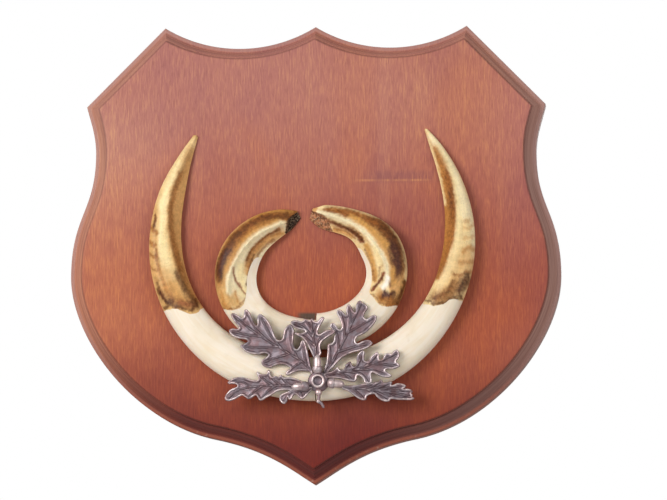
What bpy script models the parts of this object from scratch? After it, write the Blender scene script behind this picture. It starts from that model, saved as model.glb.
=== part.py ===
"""Trophy plaque for wild boar tusks, made for Blender 4.5.

A stained hardwood shield carries two long lower tusks, two short upper tusks and one cast spray of oak
leaves and acorns. Metres, +Z up. The back of the board is the plane y = 0 and its front faces -Y. The
origin is the point of the back that is fixed to the wall.
"""
import math
from dataclasses import dataclass

import bmesh
import bpy
from mathutils import Vector
from mathutils.geometry import delaunay_2d_cdt

MM = 0.001
CLEARANCE = 0.3 * MM

# Board: widths are half widths from the middle line, drops are measured down from the three top peaks.
BOARD_THICKNESS = 20 * MM
TOP_ABOVE_MOUNT = 128 * MM
PEAK_HALF_WIDTH = 83.5 * MM
SCALLOP_DEPTH = 11.8 * MM
SHOULDER_HALF_WIDTH = 126.9 * MM
SHOULDER_DROP = 43.9 * MM
WAIST_HALF_WIDTH = 121.7 * MM
WAIST_DROP = 70.3 * MM
HIP_HALF_WIDTH = 135.1 * MM
HIP_DROP = 138.2 * MM
FLANK_HALF_WIDTH = 55.1 * MM
FLANK_DROP = 227.9 * MM
TIP_DROP = 253.1 * MM
SHOULDER_TURN = math.radians(-104)
FLANK_TURN = math.radians(-168.2)
TIP_TURN = math.radians(-149)
# Reaches of the outline's curves, as shares of the straight distance between their ends.
SHOULDER_REACHES = (0.3, 0.4)
WAIST_REACHES = (0.458, 0.495)
HIP_REACHES = (0.278, 0.388)
FLANK_REACHES = (0.508, 0.237)
SCALLOP_STEPS = 9
SHOULDER_STEPS = 3
WAIST_STEPS = 7
HIP_STEPS = 9
FLANK_STEPS = 6

# Moulded edge, from the wall up: bevel, side, rounded lip, ogee, small step, rounded edge of the face.
BACK_BEVEL = 0.8 * MM
LIP_HEIGHT = 12 * MM
LIP_WIDTH = 1.7 * MM
LIP_ROUND = 0.7 * MM
OGEE_WIDTH = 4.9 * MM
OGEE_RISE = 5.6 * MM
FACE_EDGE_ROUND = 0.8 * MM
OGEE_STEPS = 4

# Tusks: centrelines lie along the board and start where each pair meets, near the middle line.
PAIR_MEETING_X = 1.8 * MM
PAIR_MEETING_GAP = 0.6 * MM
LOWER_PAIR_BOTTOM = -80.5 * MM
NEST_GAP = 3.3 * MM
NEST_STEP = 0.1 * MM
LOWER_THICKNESS_SHARE = 0.58
UPPER_THICKNESS_SHARE = 0.54
WIDTH_STATIONS = (0, 0.2, 0.4, 0.6, 0.8, 0.93, 1)
TURN_STATIONS = (0, 0.25, 0.5, 0.75, 1)
SPINE_STEPS = 120
LOWER_RINGS = 30
UPPER_RINGS = 24

# Tusk section: shares of its thickness and half width, and the roundness of its top and of its foot.
WIDEST_HEIGHT_SHARE = 0.34
TOP_ROUNDNESS = 0.8
FOOT_WIDTH_SHARE = 0.93
FOOT_ROUNDNESS = 0.6
FACET_FADE_SHARE = 0.12
TOP_STEPS = 9
FOOT_STEPS = 5

# Oak leaf spray: one casting that lies on the tusks where they meet.
SPRAY_RIGHT_OF_MEETING = 1.9 * MM
SPRAY_ABOVE_PAIR_BOTTOM = 9.9 * MM
LEAF_THICKNESS = 1.5 * MM
LEAF_BASE_HEIGHT = 0.6 * MM
DROOP_POWER = 3
LEAF_BEND_SPREAD = 0.25
VEIN_RISE = 0.9 * MM
VEIN_FADE = 0.7
BOSS_RADIUS = 5.8 * MM
BOSS_HEIGHT = 3.2 * MM
CUP_RADIUS = 3.7 * MM
CUP_HEIGHT = 4.2 * MM
CUP_WALL = 1.1 * MM
CUP_HOLLOW_DEPTH = 2.4 * MM
ACORN_NUT_RADIUS = 2.1 * MM
ACORN_CUP_RADIUS = 2.9 * MM
ACORN_CUP_LENGTH = 3.8 * MM
ACORN_SEAT_SHARE = 0.6
CUP_SEAT_SHARE = 0.5
STALK_RADIUS = 0.9 * MM
STALK_HEIGHT = 1.4 * MM
TURNED_SIDES = 12
MERGE_DISTANCE = 0.02 * MM


@dataclass
class Tusk:
    """A tusk's size, with its form as shares of its length and of its width at the root."""
    name: str
    side: int
    length: float
    root_half_width: float
    widths: tuple
    turns: tuple
    thickness_share: float
    crests: tuple
    facet_start: float
    rings: int


@dataclass
class Leaf:
    """An oak leaf: its place on the spray, its drawn outline and veins, and how it bends."""
    name: str
    base: tuple
    length: float
    heading: float
    outline: tuple
    veins: tuple
    tip_lift: float
    cup: float


@dataclass
class Acorn:
    """An acorn that lies on the casting, with its nut pointing along the heading."""
    name: str
    base: tuple
    heading: float
    nut_length: float


# Widths and turns (degrees over the whole length) belong to the stations above. Crests are (share of the
# length, place across) of the edge where the worn inner face starts.
LEFT_LOWER = Tusk(
    name="left_lower_tusk", side=-1, length=188 * MM, root_half_width=11.95 * MM,
    widths=(1, 0.956, 0.843, 0.78, 0.608, 0.301, 0.104), turns=(93, 140, 146, 109, 21),
    thickness_share=LOWER_THICKNESS_SHARE, rings=LOWER_RINGS, facet_start=0.42,
    crests=((0.42, -0.92), (0.48, -0.78), (0.58, -0.6), (0.7, -0.32), (0.8, -0.02), (1, -0.2)))
RIGHT_LOWER = Tusk(
    name="right_lower_tusk", side=1, length=186.6 * MM, root_half_width=11.94 * MM,
    widths=(1, 0.936, 0.816, 0.745, 0.534, 0.286, 0.057), turns=(135, 140, 133, 116, 46),
    thickness_share=LOWER_THICKNESS_SHARE, rings=LOWER_RINGS, facet_start=0.44,
    crests=((0.44, -0.95), (0.51, -0.88), (0.61, -0.53), (0.74, -0.14), (0.85, 0.04), (1, -0.1)))
LEFT_UPPER = Tusk(
    name="left_upper_tusk", side=-1, length=113.8 * MM, root_half_width=8.08 * MM,
    widths=(1, 1.212, 1.334, 1.425, 1.177, 0.791, 0.285), turns=(33, 183, 230, 200, -106),
    thickness_share=UPPER_THICKNESS_SHARE, rings=UPPER_RINGS, facet_start=0.3,
    crests=((0.36, 0.7), (0.53, 0.39), (0.64, 0), (0.79, -0.16), (0.93, -0.3), (1, -0.3)))
RIGHT_UPPER = Tusk(
    name="right_upper_tusk", side=1, length=114.1 * MM, root_half_width=9.9 * MM,
    widths=(1, 1.091, 1.11, 1.162, 0.789, 0.68, 0.303), turns=(143, 178, 241, 204, -191),
    thickness_share=UPPER_THICKNESS_SHARE, rings=UPPER_RINGS, facet_start=0.3,
    crests=((0.36, 0.6), (0.5, 0), (0.6, -0.25), (0.71, -0.33), (0.87, 0.06), (1, 0.3)))

# A leaf's outline and veins are drawn on one sheet, x to the right and y down. The first vein is the
# midrib, from the leaf's base to its tip.
UPPER_LEFT_LEAF = Leaf(
    name="upper_left_leaf", base=(-4.5 * MM, 6.7 * MM), length=52.3 * MM, heading=144.7,
    outline=(
        (313, 372), (311, 366), (308.8, 357), (306.7, 347.5), (305, 342), (303, 340),
        (301, 341.5), (299.8, 345),
        (298.5, 347.8), (296.5, 349), (294.5, 347.5), (293.3, 343), (293.8, 336), (294, 330),
        (292.5, 326.5), (290, 324.3), (286.5, 326.5), (284, 330.5), (283, 335.5), (282.3, 338.6),
        (280, 340), (277, 339.3), (275, 336), (273, 331), (270.5, 325), (267, 319.5), (263, 315.5),
        (259.5, 313.8), (257.4, 316), (257, 320), (257.2, 323.5), (256.2, 325.3), (254.5, 323.5),
        (252, 318), (249.5, 312.5), (246.5, 309.3), (244.3, 309.8), (243.6, 312.5), (243.5, 316),
        (241.8, 317.4), (239.5, 316), (236, 314), (232.5, 312.6), (230.6, 314.3), (231.5, 317.5),
        (234.5, 322), (238, 325.8), (238.6, 328), (236, 328.5), (232.5, 328), (229.3, 329.3),
        (229, 332), (231.5, 335), (235, 337), (240, 338.5), (245.5, 339.3), (247.7, 341), (245.5, 343),
        (240.7, 345), (241.5, 347.5), (245, 351), (251, 353.5), (258, 354.2), (263, 353.2), (266.5, 353.5),
        (268.3, 355.2), (265.8, 357.5), (262.2, 360), (261.6, 363), (263, 365.5), (266.5, 367),
        (270.5, 367.5), (276, 365), (282, 364), (287.5, 365.8), (290.3, 368), (287.3, 370.5),
        (285.6, 374), (288.5, 375), (293, 372.8), (299, 370.8), (305, 370.8),
        (309.5, 372), (312, 375)),
    veins=(
        ((310, 369), (303, 362.3), (293, 355.8), (283, 349.8), (272, 343.3), (262, 337), (253, 331),
         (245, 325), (238, 319), (232, 314)),
        ((306.5, 365), (304.3, 353), (303, 343)), ((298, 359), (291.8, 345), (289.8, 327.5)),
        ((283, 349.8), (270.5, 335), (260.5, 317)), ((268, 340.7), (256, 329), (246.5, 312)),
        ((262, 337), (246, 334.3), (231.5, 331)), ((278, 347), (262, 347.3), (243.5, 346.7)),
        ((290, 354), (277, 357.5), (264.5, 361.8)), ((302, 361.7), (294, 367), (287.7, 372.8))),
    tip_lift=-1.7 * MM, cup=-0.008)
UPPER_RIGHT_LEAF = Leaf(
    name="upper_right_leaf", base=(3.9 * MM, 4.6 * MM), length=42.8 * MM, heading=63.1,
    outline=(
        (323.5, 371), (326, 362), (327.2, 352), (327.3, 346.3), (328.5, 343.8), (331.5, 343),
        (333.3, 340.8), (333.8, 337), (334.5, 333), (332.3, 330), (330, 327), (330.6, 323.6),
        (333, 322.8), (336, 325), (338, 328.3), (340.3, 329), (341.4, 326.3), (340.5, 322), (338.5, 317),
        (336.4, 313), (337, 310.3), (339.5, 309), (342.5, 311), (345, 314), (346.2, 314.3), (345.8, 311),
        (346.3, 306.5), (348, 303.8), (350.3, 304.8), (352.5, 309), (354.3, 311.7), (355.5, 309),
        (356, 304), (357.5, 300.8), (360, 299.8), (363, 302.3), (366.5, 304.8), (367.4, 307.5),
        (366, 310), (364.4, 312.5), (363.6, 315.5), (365, 318), (367, 318.5), (369.5, 316.5),
        (373, 314.6), (376, 315.2), (376.6, 318), (375, 322), (371, 327), (366, 332), (360, 335.2),
        (357, 337), (355.5, 340), (356.3, 342.6), (358.5, 343), (362, 341.3), (367, 339.9), (371, 341),
        (372.4, 343.5), (370.5, 346.2), (366, 348.7), (360, 350.7), (352, 352.7), (345, 355.7),
        (340, 359.3), (335, 365), (330, 370.3), (326, 374)),
    veins=(
        ((325.3, 372.7), (332.5, 362), (338, 352), (343, 342.5), (348, 332), (352.3, 321.5), (357, 311.5),
         (361, 302.5)),
        ((330, 366), (330.3, 355), (329.3, 346.5)), ((338.7, 350.5), (337.7, 338), (333.7, 326)),
        ((344.7, 339), (343.8, 325), (340, 312)), ((349.6, 328), (350.2, 317), (348.8, 306.7)),
        ((347.5, 333), (360, 325.5), (373.5, 317.5)), ((338, 352), (352, 347.5), (369, 343.5))),
    tip_lift=-2.6 * MM, cup=0.02)
RIGHT_LEAF = Leaf(
    name="right_leaf", base=(3.9 * MM, 2.7 * MM), length=40.7 * MM, heading=17.9,
    outline=(
        (324, 373), (331, 371.3), (335.3, 368.8), (337.8, 366.8), (339, 369), (341.5, 369.6),
        (344, 368.5), (345, 365.2), (347, 363), (350, 361.3), (351.5, 363.5), (352.6, 365.6),
        (355, 366), (356.5, 363), (356.4, 358), (357.5, 354.5), (360, 351.5), (362.7, 350),
        (364.7, 352), (364.2, 356), (364.4, 359.8), (366.5, 361), (368.8, 360), (371, 356.5),
        (374, 353.5), (377.5, 351.8), (379, 354.3), (379, 358), (380.5, 359.5), (382.6, 358.3),
        (384.5, 354.5), (387.5, 352.8), (391, 353.5), (393.5, 351), (396.5, 349.3), (398.7, 351.3),
        (399.4, 355.5), (398, 358.5), (396, 361.3), (398, 363), (399.9, 365.5), (397.5, 367.7),
        (393, 369), (388, 369), (385.3, 370.2), (388, 372.6), (391.7, 375.3), (390, 377.2),
        (385, 377.4), (380, 376), (376, 374), (372.5, 372.7), (371, 374.5), (372, 379), (371.5, 382.8),
        (368, 384), (364.7, 382.8), (363, 379), (360, 376.2), (357.2, 376), (356.5, 379.5),
        (354, 381.7), (350, 381.3), (345, 379.8), (338, 378.3), (330, 378), (325, 378)),
    veins=(
        ((325.3, 376.2), (335, 373.5), (345, 371.5), (355, 369.5), (365, 366.5), (375, 362.5),
         (385, 359), (396.5, 353)),
        ((337, 373), (344, 369), (349.3, 363)), ((350, 370.5), (358, 364), (362, 352.5)),
        ((364, 366.8), (371, 361.5), (377, 354)), ((371, 364.1), (385, 364.5), (397.5, 366)),
        ((355, 369.5), (372, 370.3), (389.5, 376)), ((346, 371.3), (361, 374), (368, 382)),
        ((337, 373), (346, 375.5), (353, 380))),
    tip_lift=-0.5 * MM, cup=0.02)
LOWER_LEFT_LEAF = Leaf(
    name="lower_left_leaf", base=(-7.7 * MM, -2.6 * MM), length=42.3 * MM, heading=188.7,
    outline=(
        (311.5, 384), (303, 381.5), (297, 378.8), (290, 377), (285, 377.2), (283.2, 376.8), (281.7, 374.8),
        (279.3, 375), (278.6, 376.8), (275, 375.8), (271.3, 376.3), (270.3, 373.5), (269.4, 369.9),
        (267.6, 370), (266.5, 373.3), (264, 374), (260, 373.3), (257.6, 371.4), (256, 372.5),
        (257.4, 376), (258, 379), (256, 380), (251, 379.3), (246, 377.6), (240, 376.6), (234, 377.3),
        (229, 379.8), (226.8, 382), (228.5, 383.6), (232.5, 383.4), (236, 384.3), (236.5, 386),
        (234, 387.3), (229, 389.8), (225.5, 393.8), (224, 398), (226, 400.2), (230, 400.4),
        (235, 398.5), (239, 396.2), (242, 395.2), (244.5, 396.6), (247.5, 398.7), (250.5, 398.2),
        (254, 396), (255.8, 395.3), (257.5, 397.5), (259.3, 400.2), (262.3, 400), (266, 397.7),
        (270, 395.7), (274, 393.2), (277, 391.3), (283, 390), (290, 390.2), (297, 390),
        (303, 389.5), (312, 388)),
    veins=(
        ((304, 386), (292, 385.5), (280, 385.5), (268, 385.7), (256, 386.3), (245, 387.8), (236, 390.7),
         (227.3, 398)),
        ((290, 385.5), (285, 381), (280.8, 376.3)), ((281, 385.5), (273, 379), (268.5, 371)),
        ((273, 385.6), (264, 379.5), (257.5, 372.8)), ((252, 386.7), (240, 381.3), (229, 381.7)),
        ((262, 386), (254, 391.5), (247.8, 397.5)), ((276, 385.5), (268, 391), (260.5, 399))),
    tip_lift=-2.5 * MM, cup=-0.008)
LOWER_RIGHT_LEAF = Leaf(
    name="lower_right_leaf", base=(13 * MM, -3.1 * MM), length=37.9 * MM, heading=-8.2,
    outline=(
        (342, 385), (348, 385.4), (356, 384.8), (363, 383.5), (370, 382.4), (375, 382), (378, 381.3),
        (380, 379.3), (382.2, 380.3), (383.5, 382.3), (387, 382), (390, 380.8), (392, 382.3),
        (391, 384.3), (393.5, 384.2), (397, 382.7), (402, 383.2), (405.5, 384.8), (404.7, 387),
        (402.8, 388.2), (406, 388), (410, 388.6), (412.3, 390.8), (410.8, 392.6), (412.3, 394),
        (411.8, 395.6), (413.8, 397.5), (411, 399.2), (405, 399.3), (398, 399.3), (391, 398.7),
        (389, 400.7), (385, 401.2), (380, 399.6), (376.5, 396.6), (374, 394), (370, 394.5),
        (367, 396), (366, 399), (363.5, 400.2), (359.5, 399.2), (355.5, 396.6), (351.5, 393.6),
        (347, 390.6), (342, 388.7)),
    veins=(
        ((342, 386.8), (352, 387.8), (362, 388.8), (372, 389.8), (382, 391), (392, 392.5), (402, 394.2),
         (411, 396.5)),
        ((362, 388.8), (372, 386.3), (380, 380.8)), ((368, 389.4), (380, 386.5), (390.5, 382.3)),
        ((376, 390.3), (390, 387.2), (404, 385.3)), ((384, 391.3), (398, 389.8), (411, 390.6)),
        ((378, 390.5), (392, 396), (405, 398.2)), ((366, 389.2), (376, 393.5), (387, 400)),
        ((352, 387.8), (358, 393), (364, 399))),
    tip_lift=-4.5 * MM, cup=-0.015)
UPRIGHT_LEAF = Leaf(
    name="upright_leaf", base=(-0.7 * MM, 12.1 * MM), length=21.1 * MM, heading=99.3,
    outline=(
        (314.5, 359), (311, 352), (307.5, 345), (303, 338.7), (298, 335.9), (294.8, 334),
        (295.8, 332.3), (300, 333), (303.5, 332), (304.8, 330.8), (298.5, 329), (293.7, 327),
        (291, 323.5), (292, 320.6), (296, 319.8), (300, 320.8), (302.3, 320.3), (304.8, 318.2),
        (307, 318.8), (309, 319.5), (312, 317.8), (314, 320.2), (316.3, 321.3), (318, 320.3),
        (320, 317.8), (322.5, 316.5), (324.2, 318), (322.5, 321.7), (320, 325.7), (318.2, 330),
        (318, 333.5), (320, 334), (323, 332.2), (327.5, 330.2), (332, 329.5), (335.2, 331),
        (334.5, 333.7), (331, 335.7), (326.5, 338.2), (322.5, 341.2), (320.5, 344.7), (320.5, 349),
        (321.3, 353), (319.5, 357), (318.7, 359.5)),
    veins=(
        ((317, 359), (315.5, 350), (313.7, 340), (312, 330), (310.8, 320.8)),
        ((314.8, 346), (306, 337.7), (296.5, 334)), ((313.2, 337), (304, 327.8), (293.3, 322.5)),
        ((315.2, 348), (321, 338), (333, 331.7)), ((313, 336), (316.5, 326.5), (322.3, 318.2)),
        ((312.2, 331), (309, 325), (305.5, 319.8))),
    tip_lift=-1.5 * MM, cup=0.03)
LEAF_BEHIND_ACORN = Leaf(
    name="leaf_behind_acorn", base=(-7.2 * MM, -5 * MM), length=13.3 * MM, heading=207.9,
    outline=(
        (305, 388.8), (312.5, 385.5), (312.5, 389), (308, 394), (305.5, 397), (302, 399.2), (298.5, 397),
        (296, 394.7),
        (293.3, 395.5), (291.3, 399), (289, 399.6), (287.6, 397.3), (287.2, 401), (284.5, 403.7),
        (281.3, 402.7), (279.3, 399), (280, 395.3), (283, 393.3), (287, 391.7), (291, 389.5),
        (297, 388.8)),
    veins=(
        ((305, 390.5), (296, 391.5), (289, 393.8), (283.4, 402)),
        ((299.5, 391.1), (301, 394), (302, 398))),
    tip_lift=-0.4 * MM, cup=-0.01)
LEAVES = (UPPER_LEFT_LEAF, UPPER_RIGHT_LEAF, RIGHT_LEAF,
          LOWER_LEFT_LEAF, LOWER_RIGHT_LEAF, UPRIGHT_LEAF, LEAF_BEHIND_ACORN)

# An acorn's base is the closed end of its cup, from the spray's middle; its nut points along the heading.
TOP_ACORN = Acorn(name="top_acorn", base=(-0.3 * MM, 3.2 * MM), heading=92, nut_length=6.8 * MM)
LEFT_ACORN = Acorn(name="left_acorn", base=(-4.6 * MM, -2.9 * MM), heading=182, nut_length=6 * MM)
RIGHT_ACORN = Acorn(name="right_acorn", base=(5.2 * MM, -1.1 * MM), heading=-5, nut_length=5.6 * MM)
ACORNS = (TOP_ACORN, LEFT_ACORN, RIGHT_ACORN)
STALKS = (
    ("upright_leaf_stalk", ((0, 2), (-0.4, 8), (-0.4, 15))),
    ("lower_right_leaf_stalk", ((3, -1), (9, -2.4), (16, -3))),
    ("left_acorn_stalk", ((0, 0), (-3, -1.8), (-6, -2.6))),
    ("right_acorn_stalk", ((0, 0), (3, -1), (6, -1.6))),
    ("twig", ((0, -4), (0.4, -8), (0.2, -10.5), (1.9, -12.2), (3.2, -14.6))),
)


def clear_scene():
    """Remove every object, so the script can run again in the same file."""
    for item in list(bpy.data.objects):
        bpy.data.objects.remove(item, do_unlink=True)


def new_collection(name):
    """Return an empty collection of that name, linked to the scene."""
    old = bpy.data.collections.get(name)
    if old:
        bpy.data.collections.remove(old)
    made = bpy.data.collections.new(name)
    bpy.context.scene.collection.children.link(made)
    return made


def material(name, colour, roughness, metallic=0.0):
    """Return a plain material in the part's colour."""
    made = bpy.data.materials.new(name)
    made.use_nodes = True
    shader = made.node_tree.nodes["Principled BSDF"]
    shader.inputs["Base Color"].default_value = (*colour, 1)
    shader.inputs["Roughness"].default_value = roughness
    shader.inputs["Metallic"].default_value = metallic
    made.diffuse_color = (*colour, 1)
    return made


def object_from(bm, name, collection, surface):
    """Put a finished bmesh into a new object."""
    mesh = bpy.data.meshes.new(name)
    bmesh.ops.recalc_face_normals(bm, faces=bm.faces[:])
    bm.to_mesh(mesh)
    bm.free()
    mesh.materials.append(surface)
    made = bpy.data.objects.new(name, mesh)
    collection.objects.link(made)
    return made


def heading_vector(angle):
    """Return the unit vector in the board's plane, as (x, z), at that angle from +X."""
    return Vector((math.cos(angle), math.sin(angle)))


def bezier(start, start_turn, end, end_turn, reaches, steps):
    """Return points from after start up to end, on a curve that leaves and arrives at those turns."""
    span = (end - start).length
    near = start + heading_vector(start_turn) * reaches[0] * span
    far = end - heading_vector(end_turn) * reaches[1] * span
    points = []
    for step in range(1, steps + 1):
        t = step / steps
        points.append(start * (1 - t) ** 3 + near * 3 * t * (1 - t) ** 2
                      + far * 3 * t * t * (1 - t) + end * t ** 3)
    return points


def scallop(start, end, depth, steps):
    """Return an arc from after start up to end that sags by depth below the straight line."""
    middle = (start + end) / 2
    half_chord = (end - start).length / 2
    radius = (half_chord ** 2 + depth ** 2) / (2 * depth)
    across = (end - start).normalized()
    up = Vector((-across.y, across.x))
    centre = middle + up * (radius - depth)
    half_angle = math.asin(half_chord / radius)
    points = []
    for step in range(1, steps + 1):
        angle = half_angle * (2 * step / steps - 1)
        points.append(centre + across * radius * math.sin(angle) - up * radius * math.cos(angle))
    return points


def board_outline():
    """Return the shield's outline as (x, z) points, from the middle peak round by the right."""
    top = TOP_ABOVE_MOUNT
    middle_peak = Vector((0, top))
    peak = Vector((PEAK_HALF_WIDTH, top))
    shoulder = Vector((SHOULDER_HALF_WIDTH, top - SHOULDER_DROP))
    waist = Vector((WAIST_HALF_WIDTH, top - WAIST_DROP))
    hip = Vector((HIP_HALF_WIDTH, top - HIP_DROP))
    flank = Vector((FLANK_HALF_WIDTH, top - FLANK_DROP))
    tip = Vector((0, top - TIP_DROP))
    down = math.radians(-90)
    half = [middle_peak]
    half += scallop(middle_peak, peak, SCALLOP_DEPTH, SCALLOP_STEPS)
    half += [shoulder]
    half += bezier(shoulder, SHOULDER_TURN, waist, down, SHOULDER_REACHES, SHOULDER_STEPS)
    half += bezier(waist, down, hip, down, WAIST_REACHES, WAIST_STEPS)
    half += bezier(hip, down, flank, FLANK_TURN, HIP_REACHES, HIP_STEPS)
    half += bezier(flank, FLANK_TURN, tip, TIP_TURN, FLANK_REACHES, FLANK_STEPS)
    other = [Vector((-point.x, point.y)) for point in half[1:-1]]
    return half + other[::-1]


def rounded(radius):
    """Return the two (inset, rise) steps of a quarter round."""
    corner = 1 - math.cos(math.pi / 4)
    return [(radius * corner, radius * (1 - corner)), (radius * (1 - corner), radius * corner)]


def moulding_steps():
    """Return the (inset, rise) steps that turn the side of the board into its face."""
    steps = [(0, LIP_HEIGHT - LIP_ROUND - BACK_BEVEL)]
    steps += rounded(LIP_ROUND)
    steps += [(LIP_WIDTH - LIP_ROUND, 0)]
    for step in range(OGEE_STEPS):
        start = step / OGEE_STEPS
        end = (step + 1) / OGEE_STEPS
        rise = (1 - math.cos(math.pi * end)) / 2 - (1 - math.cos(math.pi * start)) / 2
        steps.append((OGEE_WIDTH / OGEE_STEPS, OGEE_RISE * rise))
    steps += [(0, BOARD_THICKNESS - LIP_HEIGHT - OGEE_RISE - FACE_EDGE_ROUND)]
    return steps + rounded(FACE_EDGE_ROUND)


def step_face(bm, face, inset, rise):
    """Grow the solid by one step on that face and return the face at the new height."""
    if inset:
        bmesh.ops.inset_region(bm, faces=[face], thickness=inset, use_even_offset=True)
    else:
        grown = bmesh.ops.extrude_face_region(bm, geom=[face])
        bm.faces.remove(face)
        face = next(item for item in grown["geom"] if isinstance(item, bmesh.types.BMFace))
    bmesh.ops.translate(bm, vec=(0, -rise, 0), verts=face.verts[:])
    return face


def make_board(collection, surface):
    """Model the shield from its outline, with the moulding worked step by step."""
    bm = bmesh.new()
    outline = [bm.verts.new((point.x, -BACK_BEVEL, point.y)) for point in board_outline()]
    back = bm.faces.new(outline)
    grown = bmesh.ops.extrude_face_region(bm, geom=[back], use_keep_orig=True)
    face = next(item for item in grown["geom"] if isinstance(item, bmesh.types.BMFace))
    first, *others = moulding_steps()
    bmesh.ops.translate(bm, vec=(0, -first[1], 0), verts=face.verts[:])
    bmesh.ops.inset_region(bm, faces=[back], thickness=BACK_BEVEL, use_even_offset=True)
    bmesh.ops.translate(bm, vec=(0, BACK_BEVEL, 0), verts=back.verts[:])
    for inset, rise in others:
        face = step_face(bm, face, inset, rise)
    return object_from(bm, "shield", collection, surface)


def station_value(stations, values, share):
    """Return a value between stations on a smooth curve that never overshoots them."""
    gaps = [b - a for a, b in zip(stations, stations[1:])]
    slopes = [(b - a) / gap for a, b, gap in zip(values, values[1:], gaps)]
    tangents = [slopes[0]]
    for before, after in zip(slopes, slopes[1:]):
        same_way = before * after > 0
        tangents.append(2 * before * after / (before + after) if same_way else 0)
    tangents.append(slopes[-1])
    index = max(i for i in range(len(gaps)) if share >= stations[i] or i == 0)
    t = (share - stations[index]) / gaps[index]
    return (values[index] * (1 + 2 * t) * (1 - t) ** 2 + tangents[index] * gaps[index] * t * (1 - t) ** 2
            + values[index + 1] * t * t * (3 - 2 * t) + tangents[index + 1] * gaps[index] * t * t * (t - 1))


def tusk_spine(tusk):
    """Return (share, point, outward direction) along the centreline, with its root at the origin."""
    point = Vector((0, 0))
    turn = 0.0
    spine = []
    for step in range(SPINE_STEPS + 1):
        share = step / SPINE_STEPS
        heading = Vector((math.cos(turn) * tusk.side, math.sin(turn)))
        outward = Vector((math.sin(turn) * tusk.side, -math.cos(turn)))
        spine.append((share, point.copy(), outward))
        point += heading * tusk.length / SPINE_STEPS
        turn += math.radians(station_value(TURN_STATIONS, tusk.turns, share)) / SPINE_STEPS
    return spine


def half_width(tusk, share):
    """Return the tusk's half width at that share of its length."""
    return tusk.root_half_width * station_value(WIDTH_STATIONS, tusk.widths, share)


def tusk_root(tusk, bottom):
    """Return the middle of the tusk's root end, which rests on the height given as bottom."""
    return Vector((PAIR_MEETING_X + tusk.side * PAIR_MEETING_GAP / 2, bottom + tusk.root_half_width))


def pair_edge(pair, bottom, way):
    """Return points along the outer (way 1) or inner (way -1) edges of both tusks of a pair."""
    points = []
    for tusk in pair:
        root = tusk_root(tusk, bottom)
        for share, point, outward in tusk_spine(tusk)[::3]:
            points.append(root + point + outward * way * half_width(tusk, share))
    return points


def upper_pair_bottom():
    """Return the height at which the upper pair lies clear of the lower pair by the named gap."""
    cradle = pair_edge((LEFT_LOWER, RIGHT_LOWER), LOWER_PAIR_BOTTOM, -1)
    widest_root = max(tusk.root_half_width for tusk in (LEFT_LOWER, RIGHT_LOWER))
    bottom = LOWER_PAIR_BOTTOM + 2 * widest_root + NEST_GAP
    ring = pair_edge((LEFT_UPPER, RIGHT_UPPER), bottom, 1)
    lift = Vector((0, 0))
    while min((a + lift - b).length for a in ring for b in cradle) < NEST_GAP:
        lift.y += NEST_STEP
    return bottom + lift.y


def top_height(across, thickness):
    """Return the height of a tusk's rounded top above the board, at that place across it."""
    rise = math.sqrt(max(0.0, 1 - across * across)) ** TOP_ROUNDNESS
    return thickness * (WIDEST_HEIGHT_SHARE + (1 - WIDEST_HEIGHT_SHARE) * rise)


def tusk_section(tusk, share, thickness):
    """Return the section as (across, height) points; across runs from -1, inner, to 1, outer."""
    side_height = thickness * WIDEST_HEIGHT_SHARE
    points = []
    for step in range(TOP_STEPS + 1):
        across = math.cos(math.pi * step / TOP_STEPS)
        points.append((across, top_height(across, thickness)))
    if share > tusk.facet_start:
        crest = station_value(*zip(*tusk.crests), max(share, tusk.crests[0][0]))
        crest_height = top_height(crest, thickness)
        depth = min(1.0, (share - tusk.facet_start) / FACET_FADE_SHARE)
        for index, (across, height) in enumerate(points):
            if across < crest:
                along = (crest - across) / (crest + 1)
                facet = crest_height + (side_height - crest_height) * along
                points[index] = (across, height + (min(height, facet) - height) * depth)
    for step in range(1, FOOT_STEPS):
        angle = math.pi * step / FOOT_STEPS
        foot = 1 - math.sin(angle) ** FOOT_ROUNDNESS
        points.append((-math.cos(angle) * FOOT_WIDTH_SHARE, side_height * foot))
    return points


def make_tusk(tusk, bottom, collection, surface):
    """Loft one tusk through rings that follow its centreline, flat side on the board."""
    bm = bmesh.new()
    root = tusk_root(tusk, bottom)
    face = -(BOARD_THICKNESS + CLEARANCE)
    spine = tusk_spine(tusk)
    rings = []
    for ring in range(tusk.rings + 1):
        share, point, outward = spine[round(SPINE_STEPS * ring / tusk.rings)]
        half = half_width(tusk, share)
        section = tusk_section(tusk, share, 2 * half * tusk.thickness_share)
        verts = []
        for across, rise in section:
            place = root + point + outward * across * half
            verts.append(bm.verts.new((place.x, face - rise, place.y)))
        rings.append(verts)
    for before, after in zip(rings, rings[1:]):
        for index in range(len(before)):
            follow = (index + 1) % len(before)
            bm.faces.new((before[index], before[follow], after[follow], after[index]))
    bm.faces.new(rings[0])
    bm.faces.new(rings[-1][::-1])
    return object_from(bm, tusk.name, collection, surface)


def smooth_path(points, steps):
    """Return points on a curve through the given ones, with that many steps between neighbours."""
    ends = [2 * points[0] - points[1]] + points + [2 * points[-1] - points[-2]]
    path = []
    for before, start, end, after in zip(ends, ends[1:], ends[2:], ends[3:]):
        for step in range(steps):
            t = step / steps
            path.append(0.5 * (2 * start + (end - before) * t
                               + (2 * before - 5 * start + 4 * end - after) * t * t
                               + (3 * start - before - 3 * end + after) * t ** 3))
    return path + [points[-1]]


def on_leaf(leaf, drawn):
    """Return a drawn point as (along, out) from the leaf's base, both as shares of its length."""
    base = Vector(leaf.veins[0][0])
    ahead = Vector(leaf.veins[0][-1]) - base
    place = (Vector(drawn) - base) / ahead.length_squared
    return Vector((place.dot(ahead), place.x * ahead.y - place.y * ahead.x))


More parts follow.
